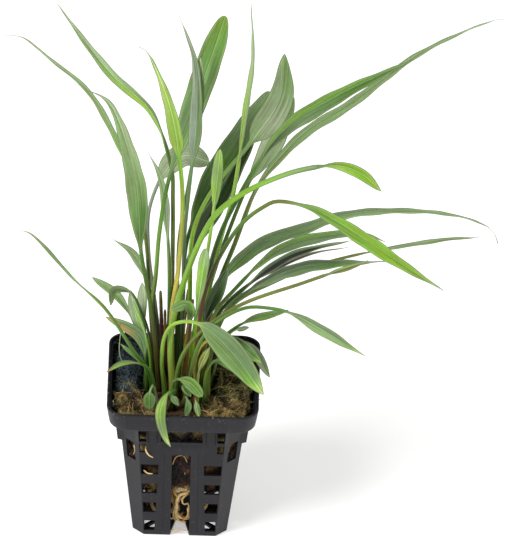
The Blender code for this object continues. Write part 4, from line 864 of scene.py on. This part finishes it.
shortLeaves = {
    "leaf_grey_left": dict(route=[(-9.5, 4.3), (-12, 8, 73), (-13, 11, 86.5), (-19, 15, 99.5),
        (-27, 18, 104)], ends="long", blade=22, width=4.4, widest=0.45, turn=(42, 45), stalk=1.4,
        left="mist sage sage", right="sage sage silver", petiole="rust bark", slot="leaf_grey"),
    "leaf_small_left": dict(route=[(-12.8, 4.5), (-15, 9, 64), (-24, 17, 79.5), (-34, 23, 84)], blade=22,
        width=4.4, widest=0.6, turn=(42, 40), stalk=1.3, left="moss leaf sage", right="leaf sage sage",
        petiole="deep leaf", slot="leaf_green"),
    "leaf_curled_left": dict(route=[(-10.8, 1), (-13, 2, 74), (-16, 3, 83), (-20, 3, 91), (-26, 1, 93),
        (-27, -3, 89)], blade=14, width=4, widest=0.5, turn=(60, 30), stalk=1.2, left="moss sage leaf",
        right="sage mist leaf", petiole="deep moss", slot="leaf_pale"),
    "leaf_pale_left": dict(route=[(-11.8, 2.6), (-13, 6, 67), (-17, 8.5, 74), (-20, 12, 86)], blade=18,
        width=4.4, widest=0.6, turn=(25, 25), stalk=1.2, left="sage mist mist", right="mist mist frost",
        petiole="moss leaf", slot="leaf_pale"),
    "leaf_bright_strip": dict(route=[(-11.4, -2.2), (-13, -1.4, 71), (-19, 2, 88)], blade=16, width=2.4,
        widest=0.5, turn=(50, 50), stalk=1.1, left="spring lime", right="grass spring",
        petiole="moss spring", slot="leaf_lime"),
    "leaf_browned": dict(route=[(-13.8, 0.5), (-14, 3, 63), (-16.5, 6, 70.5), (-29, 14, 73)], blade=24,
        width=5.2, widest=0.4, turn=(30, 35), stalk=1.4, left="moss slate tan tan",
        right="leaf slate slate tan", petiole="deep moss", tip="tan", slot="leaf_brown"),
    "leaf_low_left": dict(route=[(-13.5, -2), (-14.5, -1.5, 63), (-23, 1, 70)], blade=14, width=3.6,
        widest=0.5, turn=(50, 55), stalk=1.1, left="moss leaf grass", right="deep moss leaf",
        petiole="deep moss", slot="leaf_green"),
    "leaf_short_back": dict(route=[(-10.6, 6), (-14.8, 11.6, 71.2), (-16, 22, 83)], blade=16, width=4.4,
        widest=0.6, turn=(35, 35), stalk=1.2, left="leaf mist mist", right="sage mist frost",
        petiole="deep sage", slot="leaf_green"),
    "leaf_orange_tip": dict(route=[(-9.5, -7.5), (-13, -9.5, 67), (-22, -13, 71), (-28, -15, 68)],
        blade=14, width=2.6, widest=0.5, turn=(45, 45), stalk=1.1, left="grass lime lime",
        right="lime sage lime", petiole="deep moss", tip="orange", slot="leaf_lime"),
    "leaf_upright_mid": dict(route=[(0.8, -4), (3, -8, 76.6), (4, -10.5, 91), (7, -14, 121.6)],
        ends="round", blade=34, width=4.8, widest=0.72, turn=(45, 30), stalk=1.8,
        left="sage lime lime sage", right="slate sage grass mist", petiole="tan spring spring",
        slot="leaf_lime"),
    "leaf_dark_short": dict(route=[(4.5, 0.4), (7, 0, 81), (10, 0, 91), (15, 2, 104)], blade=26,
        width=6.2, widest=0.5, turn=(-35, -35), stalk=1.4, left="forest deep forest",
        right="night deep slate", petiole="forest deep", slot="leaf_dark"),
    "leaf_folded": dict(route=[(0.2, -5.6), (1.4, -9.4, 77.3), (2, -12.4, 92.3), (0, -15, 98),
        (-5, -17, 97)], ends="round", blade=16, width=4.8, widest=0.5, turn=(50, 20), stalk=1.2,
        left="forest leaf leaf", right="deep grass leaf", petiole="rust wine", slot="leaf_dark"),
    "leaf_yellow_short": dict(route=[(5, -8.2), (5.6, -10.5, 67.5), (9.2, -12.5, 78.5)], blade=14,
        width=3, widest=0.55, turn=(20, 20), stalk=1.1, left="lemon yellow lemon",
        right="lemon lemon yellow", petiole="lime lemon", tip="yellow", slot="leaf_lime"),
    "leaf_low_arch": dict(route=[(7.4, -7.4), (8.5, -10.4, 67.5), (12, -11.5, 72), (23, -13, 66)],
        blade=18, width=4, widest=0.5, turn=(-58, -50), stalk=1.2, left="leaf grass leaf",
        right="moss leaf leaf", petiole="moss grass", slot="leaf_green"),
    "leaf_short_right": dict(route=[(8.8, -5.5), (10.5, -7.4, 74.5), (17, -8, 83.3), (26, -12, 91.5),
        (37, -16, 97.6)], blade=22, width=4.8, widest=0.5, turn=(-52, -52), stalk=1.3,
        left="deep leaf leaf", right="leaf grass leaf", petiole="olive moss", slot="leaf_green"),
    "leaf_hook_right": dict(route=[(9, 1.5), (13.5, 10, 65), (17, 16, 67), (23, 26, 62)], blade=10,
        width=3, widest=0.5, turn=(-50, -50), stalk=1.2, left="mist silver", right="sage mist",
        petiole="moss sage", slot="leaf_pale"),
    "leaf_front_droop": dict(route=[(-6.5, -4), (-8, -6, 68), (-7, -9, 81), (-4, -11, 87), (5, -18, 92),
        (18, -29, 86), (29, -36, 74)], blade=38, width=10.4, widest=0.45, base=0.8, turn=(-38, -26, -20),
        stalk=1.5, left="slate slate slate leaf", right="sage leaf leaf spring",
        petiole="grass lime lime", tip="pea", slot="leaf_grey"),
    "leaf_behind_droop": dict(route=[(5.5, -5.8), (4, -8.4, 69.2), (7.6, -11.4, 80.2), (14, -12.6, 83),
        (28, -9, 70)], blade=24, width=6.2, widest=0.5, turn=(-36, -26), stalk=1.3,
        left="night night leaf leaf", right="slate sage leaf grass", petiole="olive straw", tip="lime",
        slot="leaf_green"),
    "leaf_grey_low": dict(route=[(8, -1), (9, 0, 67), (16, 2, 72), (24, 2, 69), (31, -3, 60)], blade=20,
        width=4.4, widest=0.5, turn=(-35, -20), stalk=1.2, left="silver silver slate",
        right="mist mist mist", petiole="moss sage", slot="leaf_pale"),
}
youngLeaves = {
    "leaf_oval": dict(route=[(-8.5, -9.8), (-11, -15, 63), (-12, -18, 62), (-12, -20, 56)], ends="round",
        blade=7, width=4.6, widest=0.45, turn=(10, 10), stalk=0.9, left="leaf leaf", right="grass leaf",
        petiole="mist sage", slot="leaf_lime"),
    "leaf_over_rim": dict(route=[(-5, -10.5), (-3, -19, 64), (-6, -24, 65), (-8, -29, 60),
        (-6, -30.5, 51), (-4, -30.5, 47)], blade=24, width=4, widest=0.45, turn=(-30, 25, 30), stalk=1.1,
        left="spring grass leaf lime", right="grass lime sage lemon", petiole="forest moss", tip="lemon",
        slot="leaf_lime"),
    "leaf_crown_front": dict(route=[(-3, -10), (-3, -14, 65), (2, -17, 66), (7, -20, 62)], ends="round",
        blade=12, width=4.8, widest=0.5, turn=(-25, -20), stalk=1.1, left="leaf grass leaf",
        right="grass leaf grass", petiole="moss leaf", slot="leaf_lime"),
    "leaf_plantlet_left": dict(route=[(1.5, -10), (1, -17, 60), (2, -20, 58), (1, -22, 54)], blade=8,
        width=2.6, widest=0.5, turn=(10, 10), stalk=0.9, left="moss leaf moss", right="leaf moss leaf",
        petiole="leaf sage", slot="leaf_green"),
    "leaf_sprig_upper": dict(route=[(1.8, -9.8), (0.6, -13.5, 62), (0.3, -16, 63.8), (2.9, -18.5, 60.8)],
        blade=6.5, width=3, widest=0.5, turn=(5, 5), stalk=0.8, left="fern ivy ivy",
        right="leaf moss ivy", petiole="night ivy", slot="leaf_green"),
    "leaf_sprig_low": dict(route=[(-2.5, -10.5), (-4.2, -13.5, 58), (-3.9, -16, 59.1),
        (-1.35, -18.5, 56.8)], blade=5.5, width=2.6, widest=0.5, turn=(0, 5), stalk=0.8,
        left="ivy slate ivy", right="ivy fern slate", petiole="night ivy", slot="leaf_green"),
    "leaf_plantlet_right": dict(route=[(4.5, -10), (4, -16, 60), (5, -20, 58), (6, -22, 54)], blade=7,
        width=2.4, widest=0.5, turn=(-15, -15), stalk=0.9, left="grass leaf lime", right="leaf sage lime",
        petiole="tan rust", slot="leaf_lime"),
}


allLeaves = {}
for group in (leftLeaves, middleLeaves, rightLeaves, shortLeaves, youngLeaves):
    allLeaves.update(group)
for order, (leafName, leafShape) in enumerate(allLeaves.items()):
    buildLeaf(leafName, leafShape, order)
print("stage 5:", len(allLeaves), "leaves")


# Roots: thickness, the places along the middle, and the colours from the plug to the tip
roots = {
    "root_front_loop": (2.0, [(3, -11, 18.2), (0, -14, 15), (-2, -14.5, 10), (0, -14, 6), (3, -13, 5), (3, -11, 9)]),
    "root_front_thick": (2.4, [(-3, -9, 18.4), (-3, -11.5, 13), (-1, -11, 8), (-2, -8, 4.5), (-6, -6, 3.4)]),
    "root_left_side": (1.5, [(-9, -6, 18.2), (-11, -8, 13), (-10, -11, 8), (-6, -12, 4), (0, -10, 3)]),
    "root_right_side": (1.4, [(8, -3, 18.2), (10, -6, 12), (9, -9, 7), (5, -9, 3.6), (4, -4, 3.2)]),
    "root_back_loop": (1.8, [(2, 9, 18.2), (-2, 11, 12), (-5, 9, 6), (-3, 5, 3.6), (3, 6, 3.4), (8, 8, 6)]),
}
palette.update({"cream": "#dcc08a", "honey": "#c39a58", "amber": "#9a6c34"})


def rootSkin(name):
    # Root skin or an old stalk's: damp and waxy, dark where it is old and cream or green where it is young
    material, tree, shader = newMaterial(name, {"IOR": 1.4, "Coat Weight": 0.05, "Coat Roughness": 0.3,
                                                "Specular IOR Level": 0.35})
    tint = addNode(tree, "ShaderNodeAttribute", {"attribute_name": "rootTint"}).outputs["Color"]
    place = addNode(tree, "ShaderNodeTexCoord").outputs["Object"]
    blotch = addNode(tree, "ShaderNodeTexNoise", {"Scale": 500.0, "Detail": 4.0}, {"Vector": place})       # 2 mm
    shade = addNode(tree, "ShaderNodeMapRange", {"From Min": 0.3, "From Max": 0.7, "To Min": 0.7, "To Max": 1.2},
                    {"Value": blotch.outputs[0]})
    tone = addNode(tree, "ShaderNodeHueSaturation", {}, {"Color": tint, "Value": shade.outputs[0]})
    rough = addNode(tree, "ShaderNodeMapRange", {"To Min": 0.4, "To Max": 0.7}, {"Value": blotch.outputs[0]})
    bump = addNode(tree, "ShaderNodeBump", {"Strength": 0.5, "Distance": 0.0001}, {"Height": blotch.outputs[0]})
    tree.links.new(tone.outputs[0], shader.inputs["Base Color"])
    tree.links.new(rough.outputs[0], shader.inputs["Roughness"])
    tree.links.new(bump.outputs[0], shader.inputs["Normal"])
    return material


def tubeAlong(route, thickness, names, seed, taper=0.6, around=12, step=0.7):
    # A round section carried along the route, thinner towards its end, swelling a little here and there
    curve, reach = smoothRoute(route)
    lengths = np.linspace(0, reach[-1], max(6, int(reach[-1] / step)))
    place, heading = alongRoute(curve, reach, lengths)
    share = lengths / reach[-1]
    radius = thickness / 2 * (1 - (1 - taper) * share) * (1 + 0.10 * ripple(place, 3.0, seed))
    radius[-1] *= 0.55
    level = np.cross(heading, (0.31, -0.52, 0.79))
    level /= np.linalg.norm(level, axis=1, keepdims=True)
    other = np.cross(heading, level)
    turn = np.linspace(0, 2 * np.pi, around, endpoint=False)[None, :, None]
    points = place[:, None, :] + (level[:, None, :] * np.cos(turn) + other[:, None, :] * np.sin(turn)) * radius[:, None, None]
    tint = np.repeat(rampColour(names, share)[:, None, :], around, axis=1)
    withPoles = lambda grid, ends: np.vstack([grid.reshape(-1, 3), ends])
    ends = np.stack([place[0] - heading[0] * 0.2, place[-1] + heading[-1] * radius[-1] * 0.6])
    return withPoles(points, ends), tubeFaces(len(lengths), around), withPoles(tint, tint[[0, -1], 0])


# Old stalks that fill the middle of the clump: thickness, places from foot to end, colours. The near-black at some feet
# is painted shade deep in the clump
innerStalks = {
    "brown_left": (1.9, [(-7.6, 2.5), (-8.2, 4, 70), (-9.2, 6, 90)], "bark rust wine olive"),
    "brown_middle": (1.8, [(-5, 4.5), (-5.2, 7, 74), (-5.0, 9, 90)], "wine rust bark olive"),
    "rust_middle": (1.9, [(-1.5, 4), (-0.6, 6, 74), (0.9, 8, 90)], "rust tan bark"),
    "olive_back": (1.7, [(-3.2, 6.4), (-2.6, 9, 76), (-2.0, 11, 90)], "bark olive moss"),
    "dark_left": (1.7, [(-9.6, 3.4), (-10.6, 6, 70), (-11.8, 9, 86)], "night forest deep"),
    "dark_middle": (1.9, [(1.5, 5), (3.4, 8, 72), (6.0, 10, 87)], "forest deep moss"),
    "straw_front": (1.8, [(-1, 1.5), (0.4, 2.5, 70), (2.6, 4, 88)], "tan straw olive"),
    "red_right": (1.8, [(3, 3.5), (5.6, 5, 70), (9.6, 7, 86)], "wine rust bark"),
    "dark_right": (1.7, [(4.6, 2.0), (8.0, 3, 68), (13.0, 4, 80)], "night forest ivy"),
    "wine_left": (1.6, [(-6.4, 0.6), (-6.9, 1.5, 68), (-7.4, 3, 84)], "night wine rust bark"),
}
# Finer roots in the slot and at the windows: thickness, places, colours
rootlets = {
    "slot_arch": (1.3, [(3.3, -15.5, 21), (2.4, -16.2, 18), (0, -16.5, 17.2), (-1.3, -16.2, 14.5), (-1.2, -15.5, 11),
                        (-1.6, -15, 7.5), (-0.2, -14.6, 4.6), (2.2, -14.8, 4.2)], "honey cream cream honey"),
    "slot_left": (1.1, [(-2.9, -16.5, 21.5), (-2.2, -16.4, 18), (-0.9, -16, 15), (-1.8, -15.4, 11), (-2.4, -14.6, 7),
                        (-1.4, -14, 4)], "ochre honey cream honey"),
    "slot_ring": (0.9, [(3.0, -15.9, 17.5), (1.6, -16.3, 16.6), (0.6, -16.1, 14.6), (1.4, -15.8, 12.6), (2.8, -15.4, 12.6),
                        (3.3, -15.2, 9)], "honey cream honey"),
    "slot_low": (1.0, [(2.9, -15, 10.5), (2.9, -15, 7.5), (1.6, -14.9, 5.6), (0.2, -14.6, 6.8), (1.2, -14.2, 8)],
                 "cream honey amber"),
    "slot_floor": (0.5, [(-3.2, -16.4, 1.6), (0, -16.6, 1.9), (3.0, -16.2, 1.6)], "cream cream"),
    "slot_thread": (0.4, [(-0.6, -18.4, 37), (0.9, -18.4, 31), (1.6, -18, 26), (2.9, -17.4, 21)], "cream honey"),
    "slot_thread_top": (0.45, [(-3.2, -19.2, 32), (-1.8, -19.6, 35.6), (0.6, -19.5, 36), (2.2, -19.2, 33)], "honey cream"),
    "window_curl": (0.75, [(-12.6, -20.6, 41), (-12.9, -21.6, 39.4), (-11.6, -22.4, 37.6), (-10.2, -22.6, 36.9)],
                    "honey cream cream"),
    "window_left": (0.6, [(-13.4, -19.9, 29.5), (-12, -20.4, 28.6), (-10.2, -20.3, 28.4)], "honey cream"),
    "corner_curl": (0.6, [(-17.2, -16.6, 38), (-16.8, -17.4, 36.5), (-17.4, -17.4, 34.5)], "cream honey"),
    "stray_shoot": (0.6, [(-20.5, 8.5, 54.5), (-23.0, 9.6, 58.5), (-23.5, 10, 62), (-23.2, 10.2, 68.5)], "olive mist mist"),
    # A pale sliver on the collar's left inner wall: painted light where that corner shows bright
    "corner_painted_light": (0.9, [(-25.0, -14.0, 52.7), (-25.2, -14.2, 55.6)], "pearl pearl"),
    "mat_left_front": (2.4, [(-15, -4.6, 2.15), (-11, -4.2, 2.2), (-7, -4.8, 2.15)], "soot umber soot"),
    "mat_left_middle": (2.4, [(-15, -2.0, 2.15), (-11, -1.8, 2.2), (-7, -2.4, 2.15)], "soot umber soot"),
    "mat_left_back": (2.4, [(-15, 0.6, 2.15), (-11, 0.8, 2.2), (-7, 0.2, 2.15)], "soot umber soot"),
    "mat_left_far": (2.4, [(-15, 3.2, 2.15), (-11, 3.4, 2.2), (-7, 2.8, 2.15)], "soot umber soot"),
    "mat_right_front": (2.4, [(15, -4.6, 2.15), (11, -4.2, 2.2), (7, -4.8, 2.15)], "soot umber soot"),
    "mat_right_middle": (2.4, [(15, -2.0, 2.15), (11, -1.8, 2.2), (7, -2.4, 2.15)], "soot umber soot"),
    "mat_right_back": (2.4, [(15, 0.6, 2.15), (11, 0.8, 2.2), (7, 0.2, 2.15)], "soot umber soot"),
    "mat_right_far": (2.4, [(15, 3.2, 2.15), (11, 3.4, 2.2), (7, 2.8, 2.15)], "soot umber soot"),
    "tangle_left": (1.2, [(-7, -8, 19), (-10, -11, 12), (-12, -8, 7), (-11, -2, 4), (-6, 4, 3.4)], "umber umber brown"),
    "tangle_right": (1.3, [(6, -7, 19), (11, -10, 13), (13, -6, 8), (11, 0, 5), (6, 6, 3.4)], "umber umber brown"),
    "tangle_cross": (1.1, [(-12, 2, 19), (-13, -2, 11), (-9, -6, 5), (0, -7, 3.2), (8, -6, 3.0)], "umber brown"),
    "tangle_back": (1.4, [(5, 10, 19), (9, 6, 12), (12, 3, 7), (9, -3, 4), (2, -6, 3.4)], "umber umber"),
}


def buildRoots(material, stalkMaterial):
    # Each route's tube, with its own colours; a stalk starts on the crown's top
    for order, (name, (thickness, route)) in enumerate(roots.items()):
        points, faces, tint = tubeAlong(route, thickness, "amber honey cream cream", 40 + order)
        makePiece(name + "_skin", points, faces, material, [name], {"rootTint": tint}, sharp=180)
    for order, (name, (thickness, route, names)) in enumerate(rootlets.items()):
        points, faces, tint = tubeAlong(route, thickness, names, 60 + order, around=10, step=0.5)
        makePiece("rootlet_" + name, points, faces, material, [], {"rootTint": tint}, sharp=180)
    for order, (name, (thickness, route, names)) in enumerate(innerStalks.items()):
        seat = route[0]
        points, faces, tint = tubeAlong([(*seat, crownTop(*seat))] + route[1:], thickness, names, 90 + order)
        makePiece("old_stalk_" + name, points, faces, stalkMaterial, [], {"rootTint": tint}, sharp=180)


def buildCrown():
    # A flattened ball with ridges where the leaf bases wrap round it
    angle = np.linspace(0, 2 * np.pi, 120, endpoint=False)[None, :]
    rise = np.linspace(-1.5, 1.5, 60)[:, None]
    ball = np.stack([np.cos(rise) * np.cos(angle), np.cos(rise) * np.sin(angle), np.sin(rise) + 0 * angle], axis=-1)
    grown = 1 + 0.05 * ripple(ball * (1, 1, 0.4), 0.45, 31) + 0.03 * ripple(ball, 0.16, 32)
    points = ball * (np.array(crown["radii"]) + crown["grown"]) * grown[..., None] + crown["centre"]
    flat = np.vstack([points.reshape(-1, 3), points[0].mean(0), points[-1].mean(0)])
    material, tree, shader = newMaterial("fibrousCrown", {"IOR": 1.4})
    place = addNode(tree, "ShaderNodeTexCoord").outputs["Object"]
    stretched = addNode(tree, "ShaderNodeMapping", {"Scale": (1, 1, 0.3)}, {"Vector": place})
    fibre = addNode(tree, "ShaderNodeTexNoise", {"Scale": 1100.0, "Detail": 4.0}, {"Vector": stretched.outputs[0]})
    tone = addNode(tree, "ShaderNodeMix", {"data_type": 'RGBA', 6: (*linearColour("#1d120b"), 1),
                                           7: (*linearColour("#6b4a2a"), 1)}, {0: fibre.outputs[0]})
    bump = addNode(tree, "ShaderNodeBump", {"Strength": 0.8, "Distance": 0.0003}, {"Height": fibre.outputs[0]})
    rough = addNode(tree, "ShaderNodeMapRange", {"To Min": 0.55, "To Max": 0.9}, {"Value": fibre.outputs[0]})
    tree.links.new(tone.outputs[2], shader.inputs["Base Color"])
    tree.links.new(rough.outputs[0], shader.inputs["Roughness"])
    tree.links.new(bump.outputs[0], shader.inputs["Normal"])
    makePiece("fibrous_crown", flat, tubeFaces(60, 120), material, ["crown"], sharp=180)


buildCrown()
buildRoots(rootSkin("creamRootSkin"), rootSkin("agedStalkSkin"))
print("stage 6: crown and roots")
